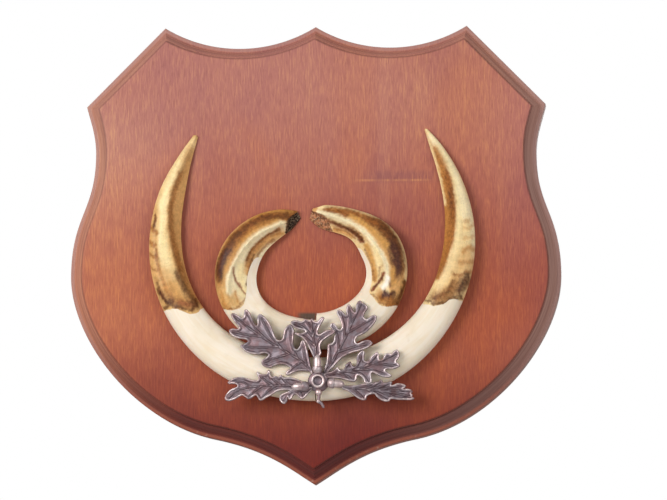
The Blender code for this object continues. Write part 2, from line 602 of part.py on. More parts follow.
def leaf_height(leaf, place, on_vein):
    """Return how far the leaf's front stands off the casting's back."""
    along, out = place
    spread = abs(out) / LEAF_BEND_SPREAD
    height = LEAF_BASE_HEIGHT + LEAF_THICKNESS + leaf.tip_lift * max(0, along) ** DROOP_POWER
    height += leaf.cup * leaf.length * spread ** 2
    if on_vein:
        height += VEIN_RISE * (1 - VEIN_FADE * min(1, spread))
    return height


def make_leaf(leaf, collection, surface):
    """Model one leaf of the spray as a thin solid, in the casting's own plane."""
    outline = [on_leaf(leaf, drawn) for drawn in leaf.outline]
    points = list(outline)
    edges = [(index, (index + 1) % len(outline)) for index in range(len(outline))]
    for vein in leaf.veins:
        start = len(points)
        points += [on_leaf(leaf, drawn) for drawn in vein]
        edges += [(start + index, start + index + 1) for index in range(len(vein) - 1)]
    places, _, faces, originals, _, _ = delaunay_2d_cdt(points, edges, [], 1, 0.001)
    forward = heading_vector(math.radians(leaf.heading))
    aside = Vector((-forward.y, forward.x))
    bm = bmesh.new()
    verts = []
    for place, sources in zip(places, originals):
        on_vein = any(source >= len(outline) for source in sources)
        spot = Vector(leaf.base) + (forward * place.x + aside * place.y) * leaf.length
        verts.append(bm.verts.new((spot.x, -leaf_height(leaf, place, on_vein), spot.y)))
    for face in faces:
        bm.faces.new([verts[index] for index in face])
    grown = bmesh.ops.extrude_face_region(bm, geom=bm.faces[:], use_keep_orig=True)
    back = [item for item in grown["geom"] if isinstance(item, bmesh.types.BMVert)]
    bmesh.ops.translate(bm, vec=(0, LEAF_THICKNESS, 0), verts=back)
    return object_from(bm, leaf.name, collection, surface)


def make_turned(name, profile, collection, surface):
    """Turn a profile of (radius, height) points about +Z; it runs down from the axis to the axis."""
    mesh = bpy.data.meshes.new(name)
    edges = [(index, index + 1) for index in range(len(profile) - 1)]
    mesh.from_pydata([(radius, 0, height) for radius, height in profile], edges, [])
    mesh.materials.append(surface)
    turned = bpy.data.objects.new(name, mesh)
    collection.objects.link(turned)
    screw = turned.modifiers.new("turning", "SCREW")
    screw.steps = TURNED_SIDES
    screw.render_steps = TURNED_SIDES
    screw.use_merge_vertices = True
    screw.merge_threshold = MERGE_DISTANCE
    return turned


def acorn_profile(nut_length):
    """Return the profile of an acorn that stands on its cup, from the nut's tip down."""
    nut = [(0, 1), (0.34, 0.93), (0.78, 0.74), (0.98, 0.4), (1, 0)]
    cup = [(0.96, 1), (1, 0.72), (0.88, 0.34), (0.55, 0.06), (0, 0)]
    profile = [(radius * ACORN_NUT_RADIUS, ACORN_CUP_LENGTH + height * nut_length)
               for radius, height in nut]
    return profile + [(radius * ACORN_CUP_RADIUS, height * ACORN_CUP_LENGTH) for radius, height in cup]


def make_acorn(acorn, collection, surface):
    """Lay one acorn on the casting, partly sunk in the boss."""
    turned = make_turned(acorn.name, acorn_profile(acorn.nut_length), collection, surface)
    turned.rotation_euler = (0, math.radians(90 - acorn.heading), 0)
    seat = BOSS_HEIGHT + ACORN_SEAT_SHARE * ACORN_CUP_RADIUS
    turned.location = (acorn.base[0], -seat, acorn.base[1])
    return turned


def make_empty_cup(collection, surface):
    """Model the empty acorn cup in the middle, open towards the front."""
    hollow = [(0, 0), (0.8, 0.25), (1, 1)]
    outer = [(0.97, 1), (1, 0.8), (0.93, 0.45), (0.7, 0), (0, 0)]
    mouth = CUP_RADIUS - CUP_WALL
    floor = CUP_HEIGHT - CUP_HOLLOW_DEPTH
    profile = [(radius * mouth, floor + height * CUP_HOLLOW_DEPTH) for radius, height in hollow]
    profile += [(radius * CUP_RADIUS, height * CUP_HEIGHT) for radius, height in outer]
    cup = make_turned("empty_cup", profile, collection, surface)
    cup.rotation_euler = (math.radians(90), 0, 0)
    cup.location = (0, -BOSS_HEIGHT * CUP_SEAT_SHARE, 0)
    return cup


def make_boss(collection, surface):
    """Model the low round boss behind the cup, which ties leaves, acorns and stalks together."""
    outer = [(0, 1), (0.75, 0.85), (0.97, 0.5), (1, 0), (0, 0)]
    profile = [(radius * BOSS_RADIUS, height * BOSS_HEIGHT) for radius, height in outer]
    boss = make_turned("oak_leaf_spray", profile, collection, surface)
    boss.rotation_euler = (math.radians(90), 0, 0)
    return boss


def make_stalk(name, route, collection, surface):
    """Model a stalk or twig as a round tube, and return it as a mesh object."""
    curve = bpy.data.curves.new(name, "CURVE")
    curve.dimensions = "3D"
    curve.bevel_depth = STALK_RADIUS
    curve.bevel_resolution = 1
    curve.use_fill_caps = True
    spline = curve.splines.new("POLY")
    path = smooth_path([Vector(point) * MM for point in route], 2)
    spline.points.add(len(path) - 1)
    for point, place in zip(spline.points, path):
        point.co = (place.x, -STALK_HEIGHT, place.y, 1)
    tube = bpy.data.objects.new(name + "_curve", curve)
    collection.objects.link(tube)
    bpy.context.view_layer.update()
    mesh = bpy.data.meshes.new_from_object(tube.evaluated_get(bpy.context.evaluated_depsgraph_get()))
    bm = bmesh.new()
    bm.from_mesh(mesh)
    bmesh.ops.remove_doubles(bm, verts=bm.verts[:], dist=MERGE_DISTANCE)
    made = object_from(bm, name, collection, surface)
    bpy.data.objects.remove(tube, do_unlink=True)
    return made


def make_spray(collection, cutters, surface):
    """Join leaves, acorns, cup and stalks into the one casting and lay it on the tusks."""
    spray = make_boss(collection, surface)
    pieces = [make_leaf(leaf, cutters, surface) for leaf in LEAVES]
    pieces += [make_acorn(acorn, cutters, surface) for acorn in ACORNS]
    pieces += [make_stalk(name, route, cutters, surface) for name, route in STALKS]
    pieces.append(make_empty_cup(cutters, surface))
    thickest = max(2 * tusk.root_half_width * max(tusk.widths) * tusk.thickness_share
                   for tusk in (LEFT_LOWER, RIGHT_LOWER, LEFT_UPPER, RIGHT_UPPER))
    back = -(BOARD_THICKNESS + CLEARANCE + thickest + CLEARANCE)
    middle_x = PAIR_MEETING_X + SPRAY_RIGHT_OF_MEETING
    middle = Vector((middle_x, back, LOWER_PAIR_BOTTOM + SPRAY_ABOVE_PAIR_BOTTOM))
    spray.location = middle
    for piece in pieces:
        piece.location = Vector(piece.location) + middle
        piece.hide_render = True
        piece.display_type = "WIRE"
        join = spray.modifiers.new(piece.name, "BOOLEAN")
        join.operation = "UNION"
        join.solver = "EXACT"
        join.object = piece
    return spray


def main():
    clear_scene()
    parts = new_collection("boar_tusk_plaque")
    cutters = new_collection("joined_pieces")
    wood = material("mahogany_stain", (0.30, 0.085, 0.04), 0.5)
    ivory = material("tusk_ivory", (0.78, 0.66, 0.46), 0.35)
    silver = material("oxidised_silver", (0.25, 0.2, 0.22), 0.4, 1.0)
    make_board(parts, wood)
    for tusk in (LEFT_LOWER, RIGHT_LOWER):
        make_tusk(tusk, LOWER_PAIR_BOTTOM, parts, ivory)
    upper_bottom = upper_pair_bottom()
    for tusk in (LEFT_UPPER, RIGHT_UPPER):
        make_tusk(tusk, upper_bottom, parts, ivory)
    make_spray(parts, cutters, silver)


main()
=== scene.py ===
"""Looks of the boar tusk plaque for Blender 4.5: fine surfaces, materials, light and camera.

Metres, +Z up, front towards -Y, back of the board on the plane y = 0. Every fine piece keeps the form
of the solid that it stands for.
"""
import math
from dataclasses import dataclass

import bmesh
import bpy
import numpy as np
from mathutils import Matrix, Vector, noise
from mathutils.geometry import delaunay_2d_cdt
from mathutils.kdtree import KDTree


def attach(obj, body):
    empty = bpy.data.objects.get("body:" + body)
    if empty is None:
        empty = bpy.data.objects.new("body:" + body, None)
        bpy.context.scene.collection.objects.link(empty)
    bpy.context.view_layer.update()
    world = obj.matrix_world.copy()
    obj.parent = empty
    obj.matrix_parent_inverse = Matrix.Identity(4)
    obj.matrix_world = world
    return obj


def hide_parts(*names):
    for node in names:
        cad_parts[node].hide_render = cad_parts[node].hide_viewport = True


MM = 0.001
CLEARANCE = 0.3 * MM

# Camera: a long lens in front of the board, a little below and to the right of its middle.
CAMERA_PLACE = (0.19329, -2.58926, -0.2835)
CAMERA_AIM = (0.010137, -0.012, 0.003815)
CAMERA_ROLL = math.radians(0.12)
CAMERA_LENS = 255.145
SENSOR_WIDTH = 36
FARTHEST_SEEN = 50

# Studio. A light is (name, place, size, watts) and faces the middle of the board.
LIGHTS = (
    ("key_softbox", (-1.0, -1.25, 0.3), 0.85, 19),
    ("fill_softbox", (1.45, -1.75, 0.15), 1.4, 13.5),
    ("back_softbox", (0.6, 1.8, 0.9), 1.6, 14),
)
WALL_WHITE = (1, 1, 1, 1)
WALL_LIGHT = 0.36
FLOOR_HEIGHT = -1.6
FLOOR_SIZE = 12
FLOOR_PALE = (0.82, 0.82, 0.81, 1)
FLOOR_GLOW_COLOUR = (1, 1, 0.99, 1)
FLOOR_GLOW = 0.62

# Board
BOARD_THICKNESS = 20 * MM
TOP_ABOVE_MOUNT = 128 * MM
PEAK_HALF_WIDTH = 83.5 * MM
SCALLOP_DEPTH = 11.8 * MM
SHOULDER_HALF_WIDTH = 126.9 * MM
SHOULDER_DROP = 43.9 * MM
WAIST_HALF_WIDTH = 121.7 * MM
WAIST_DROP = 70.3 * MM
HIP_HALF_WIDTH = 135.1 * MM
HIP_DROP = 138.2 * MM
FLANK_HALF_WIDTH = 55.1 * MM
FLANK_DROP = 227.9 * MM
TIP_DROP = 253.1 * MM
SHOULDER_TURN = math.radians(-104)
FLANK_TURN = math.radians(-168.2)
TIP_TURN = math.radians(-149)
SHOULDER_REACHES = (0.3, 0.4)
WAIST_REACHES = (0.458, 0.495)
HIP_REACHES = (0.278, 0.388)
FLANK_REACHES = (0.508, 0.237)
SCALLOP_STEPS = 160
STRAIGHT_STEPS = 100
SIDE_STEPS = (60, 140, 240, 120)
RING_SPACING = 1.6 * MM

# Two runs are taken as parallel below the limit, and as crossing within the tolerance of their ends.
TOLERANCE = 1e-6
PARALLEL_LIMIT = 1e-16

# Moulding
BACK_BEVEL = 0.8 * MM
LIP_HEIGHT = 12 * MM
LIP_WIDTH = 1.7 * MM
LIP_ROUND = 0.7 * MM
OGEE_WIDTH = 4.9 * MM
OGEE_RISE = 5.6 * MM
FACE_EDGE_ROUND = 0.8 * MM
FACE_MARGIN = 1.5 * MM
EDGE_STEPS = 6
ROUND_STEPS = 5
OGEE_STEPS = 16
MOULDING_SHARP = math.radians(32)

# Tusks
PAIR_MEETING_X = 1.8 * MM
PAIR_MEETING_GAP = 0.6 * MM
LOWER_PAIR_BOTTOM = -80.5 * MM
UPPER_PAIR_BOTTOM = -52.1 * MM
LOWER_THICKNESS_SHARE = 0.58
UPPER_THICKNESS_SHARE = 0.54
WIDTH_STATIONS = (0, 0.2, 0.4, 0.6, 0.8, 0.93, 1)
TURN_STATIONS = (0, 0.25, 0.5, 0.75, 1)
SPINE_STEPS = 480
WIDEST_HEIGHT_SHARE = 0.34
TOP_ROUNDNESS = 0.8
FOOT_WIDTH_SHARE = 0.93
FOOT_ROUNDNESS = 0.6
FACET_FADE_SHARE = 0.12
RINGS_PER_MM = 2.0
TOP_STEPS = 64
FOOT_STEPS = 16
TIP_ROUND = 0.9 * MM
TIP_SMALLEST_SHARE = 0.12
BREAK_SLOPE_MM = 2.2
BREAK_DROP_SHARE = 0.8
BREAK_FLOOR_SHARE = 0.15
JAGS_START_MM = 0.4
TUSK_SHARP = math.radians(50)


@dataclass
class Tusk:
    """A tusk's form and the places of its marks, as (share of the length, place across)."""
    name: str
    side: int
    length: float
    root_half_width: float
    widths: tuple
    turns: tuple
    thickness_share: float
    bottom: float
    crests: tuple
    facet_start: float
    gum_line: tuple
    outer: str
    facet: str
    strokes: tuple
    reliefs: tuple
    break_line: tuple = ()
    break_colour: str = "dark"


# Colours of the stained wood and of the light and shade painted on it, in linear light.
FOOT_RED = (0.155, 0.016, 0.011)
MIDDLE_RED = (0.366, 0.088, 0.046)
# Pink at the top of the board: partly the stain's own colour, partly a painted sheen.
TOP_PINK_SHEEN = (0.44, 0.166, 0.13)
PALE_STRAND = (0.6, 0.27, 0.18)
ORANGE_LINE = (0.6, 0.24, 0.11)
GLUE_BROWN = (0.075, 0.06, 0.045)
RUB_PURPLE = (0.22, 0.08, 0.09)
# A painted highlight on the ogee's sides.
MOULDING_HIGHLIGHT_BROWN = (0.52, 0.25, 0.17)
# Painted shade, with a cool painted reflection, on the right-hand ogee.
MOULDING_SHADE_GREY = (0.41, 0.24, 0.2)
# Painted shade on the ogee at the foot.
MOULDING_FOOT_SHADE = (0.11, 0.03, 0.027)
# The step at the face's edge: partly stain pooled in it, partly painted shade.
STEP_STAIN_AND_SHADE = (0.07, 0.025, 0.02)
# A painted highlight on the lip towards the top.
LIP_HIGHLIGHT_GREY = (0.42, 0.26, 0.24)
LIP_RED = (0.36, 0.1, 0.055)
SCUFF_PALE = (0.55, 0.38, 0.3)
RAW_BACK = (0.2, 0.085, 0.048)
RAW_BACK_PALE = (0.33, 0.16, 0.09)
RAW_BACK_STAIN = (0.13, 0.045, 0.03)

# Tones that the wood's colour is multiplied by; the pale tone for the left side and the cool tone
# for the right side are painted light.
ORANGE_CAST = (1.12, 0.95, 0.6)
PURPLE_CAST = (0.75, 0.68, 0.9)
GRAIN_DARK = (0.5, 0.4, 0.4)
GRAIN_LIGHT = (1.3, 1.5, 1.14)
# Painted light: the face paler and less red on its left side.
LEFT_LIGHT_CAST = (1.37, 1.8, 1.68)
MOULDING_LINE = (0.72, 0.66, 0.66)
# Painted reflection: a cooler, bluer tone on the right side of the board.
RIGHT_REFLECTION_CAST = (0.93, 0.97, 1.3)

# Places on the board where its stain and its painted light and shade change: heights and sides in
# metres, insets from its edge in mm.
LEVEL_DRIFT = 0.06
FOOT_TO_MIDDLE = (-0.112, -0.04)
MIDDLE_TO_TOP = (-0.03, 0.1)
LEFT_LIGHT_ACROSS = (-0.045, -0.13)
LEFT_LIGHT_FOOT = (-0.075, -0.03)
LEFT_LIGHT_TOP = (0.1, 0.05)
RIGHT_REFLECTION_ACROSS = (0.075, 0.125)
OGEE_TOP = 7.0
OGEE_INSIDE = 5.8
LIP_INSIDE = 2.3
STEP_STRENGTH = 0.35

# A mark is (x, z, half width, half width of its core, half height, half height of its core), in metres.
RUB_MARK = (0.0478, 0.0435, 0.024, 0.012, 0.0048, 0.001)
GLUE_MARK = (-0.0034, -0.0345, 0.007, 0.003, 0.004, 0.0018)
LINE_MARK = (0.043, 0.0413, 0.024, 0.014, 0.0009, 0.0003)
STRAND_MARK_X = 0.0385

# Colours of the ivory that no stroke paints, and of the oxidised silver, in linear light.
ROOT_CREAM = (0.87, 0.735, 0.56)
ROOT_PALE = (0.905, 0.8, 0.665)
ROOT_YELLOWED = (0.76, 0.63, 0.42)
ROOT_STAIN = (0.66, 0.52, 0.36)
SPECK_BROWN = (0.2, 0.1, 0.05)
BREAK_SPECK = (0.5, 0.36, 0.22)
SILVER_BODY = (0.235, 0.145, 0.155)
SILVER_BODY_PALE = (0.26, 0.21, 0.235)
SILVER_DARK = (0.085, 0.048, 0.055)
# Polish on the raised parts, partly rubbed and partly a painted highlight.
SILVER_POLISH_AND_HIGHLIGHT = (0.8, 0.6, 0.58)
SILVER_POLISH_AND_HIGHLIGHT_PALE = (0.88, 0.76, 0.75)

# Colours of old stained ivory, in sRGB.
COLOURS = {
    "white": (248, 241, 226), "cream": (242, 224, 182), "pale": (246, 222, 166),
    "straw": (236, 206, 150), "beige": (218, 174, 112), "ochre": (190, 128, 62),
    "tan": (212, 160, 98), "honey": (208, 152, 80), "amber": (176, 114, 56),
    "rust": (150, 88, 38), "brown": (126, 74, 36), "umber": (104, 60, 29),
    "plum": (88, 45, 27), "dark": (66, 46, 35), "red": (148, 82, 54), "flesh": (160, 108, 76),
}
DARK_COLOURS = ("rust", "brown", "umber", "plum", "dark")

# How sharply a stroke ends, how far noise shifts the marks and how softly stains meet.
STROKE_EDGE = 2.8
SLOW_SHIFT_MM = (1.6, 0.7)
QUICK_SHIFT_MM = (1.0, 0.45)
RELIEF_SHIFT_MM = 0.4
CREST_BLEND_MM = 1.5
BREAK_BLEND_MM = 0.3

# The gum line is where the white root ends and the break line where the broken end starts, both as
# (place across, share of the length). A stroke is (colour, width in mm, strength, route) and a relief is
# (rise in mm, width in mm, route); a route is (share of the length, place across).
LEFT_LOWER = Tusk(
    name="left_lower_tusk", side=-1, length=188 * MM, root_half_width=11.95 * MM,
    widths=(1, 0.956, 0.843, 0.78, 0.608, 0.301, 0.104), turns=(93, 140, 146, 109, 21),
    thickness_share=LOWER_THICKNESS_SHARE, bottom=LOWER_PAIR_BOTTOM, facet_start=0.42,
    crests=((0.42, -0.92), (0.48, -0.78), (0.58, -0.6), (0.7, -0.32), (0.8, -0.02), (1, -0.2)),
    gum_line=((-1, 0.43), (-0.6, 0.425), (-0.31, 0.43), (0.02, 0.45), (0.33, 0.47), (0.9, 0.48)),
    outer="beige", facet="tan",
    strokes=(
        ("straw", 3.2, 0.8, ((0.97, 0.1), (0.86, 0.5), (0.78, 0.35), (0.7, 0.12), (0.62, -0.1),
                             (0.56, -0.2))),
        ("pale", 2.6, 0.75, ((0.9, 0.2), (0.82, 0.4), (0.744, 0.3), (0.658, 0.1), (0.6, 0))),
        ("straw", 1.2, 0.7, ((0.95, 1), (0.86, 1), (0.78, 1))),
        ("tan", 2.6, 0.55, ((0.75, 0.75), (0.66, 0.75), (0.58, 0.72), (0.5, 0.66))),
        ("amber", 2.0, 0.5, ((0.96, -0.3), (0.88, -0.25), (0.82, -0.15), (0.78, -0.2), (0.7, -0.42),
                             (0.62, -0.64), (0.56, -0.74), (0.48, -0.84))),
        ("rust", 1.5, 0.45, ((0.87, -0.28), (0.81, -0.2), (0.76, -0.26), (0.69, -0.46), (0.63, -0.64),
                             (0.57, -0.76))),
        ("tan", 1.3, 0.8, ((0.8, -0.85), (0.7, -0.95), (0.6, -1))),
        ("brown", 0.9, 0.9, ((0.74, 0.74), (0.72, 0.7), (0.7, 0.74))),
        ("amber", 1.1, 0.8, ((0.705, 0.95), (0.692, 0.5))),
        ("amber", 1.0, 0.8, ((0.67, 0.95), (0.655, 0.55))),
        ("amber", 1.0, 0.85, ((0.635, 0.95), (0.622, 0.55))),
        ("rust", 1.0, 0.6, ((0.6, 0.9), (0.588, 0.5))),
        ("brown", 0.9, 0.5, ((0.567, 0.8), (0.56, 0.68))),
        ("brown", 1.5, 0.7, ((0.54, 0.8), (0.517, 0.7))),
        ("rust", 1.1, 0.75, ((0.64, 0.5), (0.6, 0.46), (0.56, 0.4), (0.53, 0.33), (0.5, 0.28))),
        ("tan", 5.0, 0.6, ((0.57, 0.2), (0.53, 0), (0.48, -0.2))),
        ("ochre", 4.0, 0.5, ((0.53, 0.3), (0.49, 0.1), (0.46, -0.4))),
        ("brown", 2.6, 0.4, ((0.515, 0.7), (0.495, 0.3), (0.48, 0), (0.465, -0.4))),
        ("plum", 1.2, 0.85, ((0.53, 0.76), (0.508, 0.64), (0.495, 0.5), (0.49, 0.3))),
        ("red", 2.4, 0.6, ((0.475, -0.1), (0.46, -0.45), (0.455, -0.7))),
        ("plum", 0.9, 0.6, ((0.556, 0.78), (0.54, 0.76))),
        ("umber", 1.8, 0.75, ((0.57, -0.5), (0.53, -0.6), (0.49, -0.68), (0.455, -0.75), (0.44, -0.6))),
        ("umber", 0.9, 0.75, ((0.47, -0.9), (0.445, -0.7), (0.44, -0.4), (0.452, -0.1), (0.465, 0.1),
                              (0.478, 0.3), (0.487, 0.6), (0.49, 0.85))),
    ),
    reliefs=((-0.4, 1.1, ((0.75, 0.43), (0.69, 0.6), (0.64, 0.53), (0.59, 0.47), (0.55, 0.36),
                          (0.48, 0.28))),
             (0.25, 1.3, ((0.9, -0.1), (0.82, 0.1), (0.72, -0.2), (0.58, -0.5), (0.5, -0.7)))))
RIGHT_LOWER = Tusk(
    name="right_lower_tusk", side=1, length=186.6 * MM, root_half_width=11.94 * MM,
    widths=(1, 0.936, 0.816, 0.745, 0.534, 0.286, 0.057), turns=(135, 140, 133, 116, 46),
    thickness_share=LOWER_THICKNESS_SHARE, bottom=LOWER_PAIR_BOTTOM, facet_start=0.44,
    crests=((0.44, -0.95), (0.51, -0.88), (0.61, -0.53), (0.74, -0.14), (0.85, 0.04), (1, -0.1)),
    gum_line=((-0.96, 0.42), (-0.6, 0.425), (-0.3, 0.43), (0.12, 0.45), (0.34, 0.47), (0.91, 0.48)),
    outer="straw", facet="ochre",
    strokes=(
        ("cream", 3.4, 0.75, ((0.97, 0.5), (0.875, 0.6), (0.8, 0.55), (0.72, 0.5))),
        ("pale", 1.8, 0.6, ((0.93, 0.2), (0.85, 0.25), (0.76, 0.1), (0.68, -0.1), (0.61, -0.3))),
        ("cream", 2.2, 0.8, ((0.75, 1), (0.66, 1), (0.6, 1))),
        ("tan", 5, 0.6, ((0.6, 0.55), (0.55, 0.4), (0.5, 0.2), (0.46, -0.2))),
        ("ochre", 3.6, 0.4, ((0.52, 0.3), (0.49, 0.2), (0.46, -0.3))),
        ("amber", 2.3, 0.85, ((0.93, -0.25), (0.865, -0.2), (0.806, -0.22), (0.754, -0.32), (0.694, -0.47),
                              (0.631, -0.62), (0.567, -0.75), (0.52, -0.9))),
        ("rust", 1.9, 0.7, ((0.84, -0.24), (0.8, -0.26), (0.754, -0.36), (0.7, -0.48))),
        ("brown", 1.7, 0.8, ((0.795, -0.28), (0.765, -0.36), (0.745, -0.42))),
        ("amber", 1.6, 0.7, ((0.7, -0.46), (0.64, -0.6), (0.58, -0.76), (0.54, -0.86))),
        ("straw", 1.1, 0.8, ((0.96, -0.9), (0.9, -0.95), (0.84, -0.95), (0.76, -1))),
        ("tan", 1.3, 0.6, ((0.685, 0.85), (0.678, 0.35))),
        ("ochre", 1.1, 0.4, ((0.655, 0.9), (0.648, 0.35))),
        ("amber", 1.2, 0.5, ((0.7, 0.6), (0.7, 0.45))),
        ("ochre", 1.3, 0.6, ((0.625, 0.9), (0.612, 0.3))),
        ("amber", 1.2, 0.5, ((0.592, 0.9), (0.58, 0.2))),
        ("rust", 1.3, 0.65, ((0.56, 0.9), (0.548, 0.4), (0.54, 0))),
        ("brown", 3.6, 0.62, ((0.53, 0.7), (0.5, 0.4), (0.475, 0), (0.452, -0.5))),
        ("plum", 1.8, 0.75, ((0.545, 0.85), (0.523, 0.75), (0.505, 0.68))),
        ("plum", 1.0, 0.6, ((0.5, 0.6), (0.49, 0.75), (0.488, 0.9))),
        ("brown", 1.2, 0.6, ((0.52, 0.15), (0.49, 0.05), (0.47, -0.2), (0.455, -0.5))),
        ("umber", 1.0, 0.75, ((0.435, -0.9), (0.435, -0.4), (0.448, 0), (0.46, 0.2), (0.478, 0.4),
                              (0.488, 0.85))),
    ),
    reliefs=((0.25, 1.4, ((0.93, 0.1), (0.85, 0.15), (0.74, -0.05), (0.61, -0.42), (0.52, -0.78))),
             (-0.25, 1.2, ((0.7, 0.3), (0.62, 0.2), (0.55, 0.15), (0.49, 0.1)))))
LEFT_UPPER = Tusk(
    name="left_upper_tusk", side=-1, length=113.8 * MM, root_half_width=8.08 * MM,
    widths=(1, 1.212, 1.334, 1.425, 1.177, 0.791, 0.285), turns=(33, 183, 230, 200, -106),
    thickness_share=UPPER_THICKNESS_SHARE, bottom=UPPER_PAIR_BOTTOM, facet_start=0.3,
    crests=((0.36, 0.7), (0.53, 0.39), (0.64, 0), (0.79, -0.16), (0.93, -0.3), (1, -0.3)),
    gum_line=((-1, 0.7), (-0.72, 0.665), (-0.63, 0.58), (-0.5, 0.47), (-0.2, 0.41), (0.2, 0.385), (1, 0.42)),
    break_line=((-1.05, 0.9), (-0.69, 0.915), (-0.16, 0.938), (0.31, 0.98), (0.6, 1)),
    outer="ochre", facet="cream",
    strokes=(
        ("rust", 3.6, 0.6, ((0.52, 0.75), (0.6, 0.7), (0.7, 0.65), (0.8, 0.6), (0.9, 0.45), (0.98, 0.35))),
        ("tan", 1.6, 0.9, ((0.42, 0.97), (0.5, 1), (0.6, 1), (0.7, 1), (0.8, 1))),
        ("honey", 1.5, 0.7, ((0.8, 1), (0.9, 0.9), (0.97, 0.8))),
        ("brown", 2.4, 0.85, ((0.53, 0.72), (0.58, 0.68), (0.64, 0.6), (0.7, 0.62), (0.76, 0.6),
                              (0.83, 0.55),
                              (0.9, 0.42), (0.95, 0.3))),
        ("plum", 3.3, 0.95, ((0.55, 0.68), (0.575, 0.64), (0.6, 0.6), (0.63, 0.55))),
        ("umber", 1.5, 0.85, ((0.67, 0.64), (0.7, 0.66), (0.72, 0.64))),
        ("brown", 1.2, 0.8, ((0.75, 0.68), (0.8, 0.66), (0.85, 0.6))),
        ("umber", 1.0, 0.5, ((0.84, 0.5), (0.89, 0.42), (0.93, 0.32))),
        ("honey", 1.5, 0.7, ((0.5, 0.6), (0.55, 0.42), (0.6, 0.32), (0.66, 0.24), (0.742, 0.2),
                             (0.81, 0.2), (0.9, 0.08))),
        ("amber", 0.9, 0.6, ((0.62, 0.38), (0.7, 0.32), (0.78, 0.32), (0.86, 0.24))),
        ("beige", 4.5, 0.85, ((0.47, 0.6), (0.44, 0.35), (0.41, 0.3))),
        ("ochre", 0.7, 0.6, ((0.47, 0.75), (0.43, 0.8))),
        ("ochre", 0.7, 0.6, ((0.47, 0.1), (0.41, 0.15))),
        ("honey", 1.0, 0.5, ((0.5, 0.55), (0.46, 0.45), (0.42, 0.45))),
        ("cream", 2.3, 1.0, ((0.6, -0.1), (0.637, -0.12), (0.715, -0.17), (0.806, -0.16), (0.86, -0.24),
                             (0.9, -0.32))),
        ("cream", 1.7, 1.0, ((0.48, 0.36), (0.53, 0.25), (0.58, 0.08), (0.62, -0.05))),
        ("pale", 2.2, 0.9, ((0.44, -0.3), (0.5, -0.32), (0.56, -0.3), (0.6, -0.28))),
        ("red", 0.7, 0.85, ((0.575, 0.06), (0.545, 0.02), (0.51, -0.1), (0.47, -0.26), (0.44, -0.36))),
        ("tan", 2.2, 0.95, ((0.56, -0.58), (0.62, -0.56), (0.7, -0.6), (0.78, -0.66), (0.86, -0.8),
                            (0.9, -0.85))),
        ("amber", 1.4, 0.7, ((0.6, -0.5), (0.68, -0.48), (0.75, -0.5), (0.83, -0.55), (0.89, -0.66))),
        ("rust", 0.7, 0.8, ((0.63, -0.42), (0.7, -0.4), (0.76, -0.4), (0.83, -0.44), (0.89, -0.5))),
        ("rust", 0.8, 0.6, ((0.68, -0.8), (0.76, -0.85), (0.84, -0.9))),
        ("brown", 0.7, 0.7, ((0.68, -0.62), (0.6, -0.62), (0.54, -0.66), (0.48, -0.55))),
        ("rust", 0.7, 0.55, ((0.43, -0.34), (0.405, -0.15), (0.392, 0.2), (0.4, 0.6), (0.415, 0.9))),
    ),
    reliefs=((0.8, 0.9, ((0.47, 0.42), (0.53, 0.27), (0.58, 0.1), (0.64, -0.04), (0.715, -0.1),
                         (0.806, -0.1), (0.9, -0.24))),
             (-0.8, 1.3, ((0.6, -0.48), (0.681, -0.46), (0.752, -0.48), (0.829, -0.52), (0.9, -0.66))),
             (-0.35, 0.7, ((0.575, 0.06), (0.51, -0.1), (0.44, -0.36))),
             (-0.25, 1.8, ((0.55, 0.66), (0.64, 0.5), (0.75, 0.45), (0.85, 0.3)))))
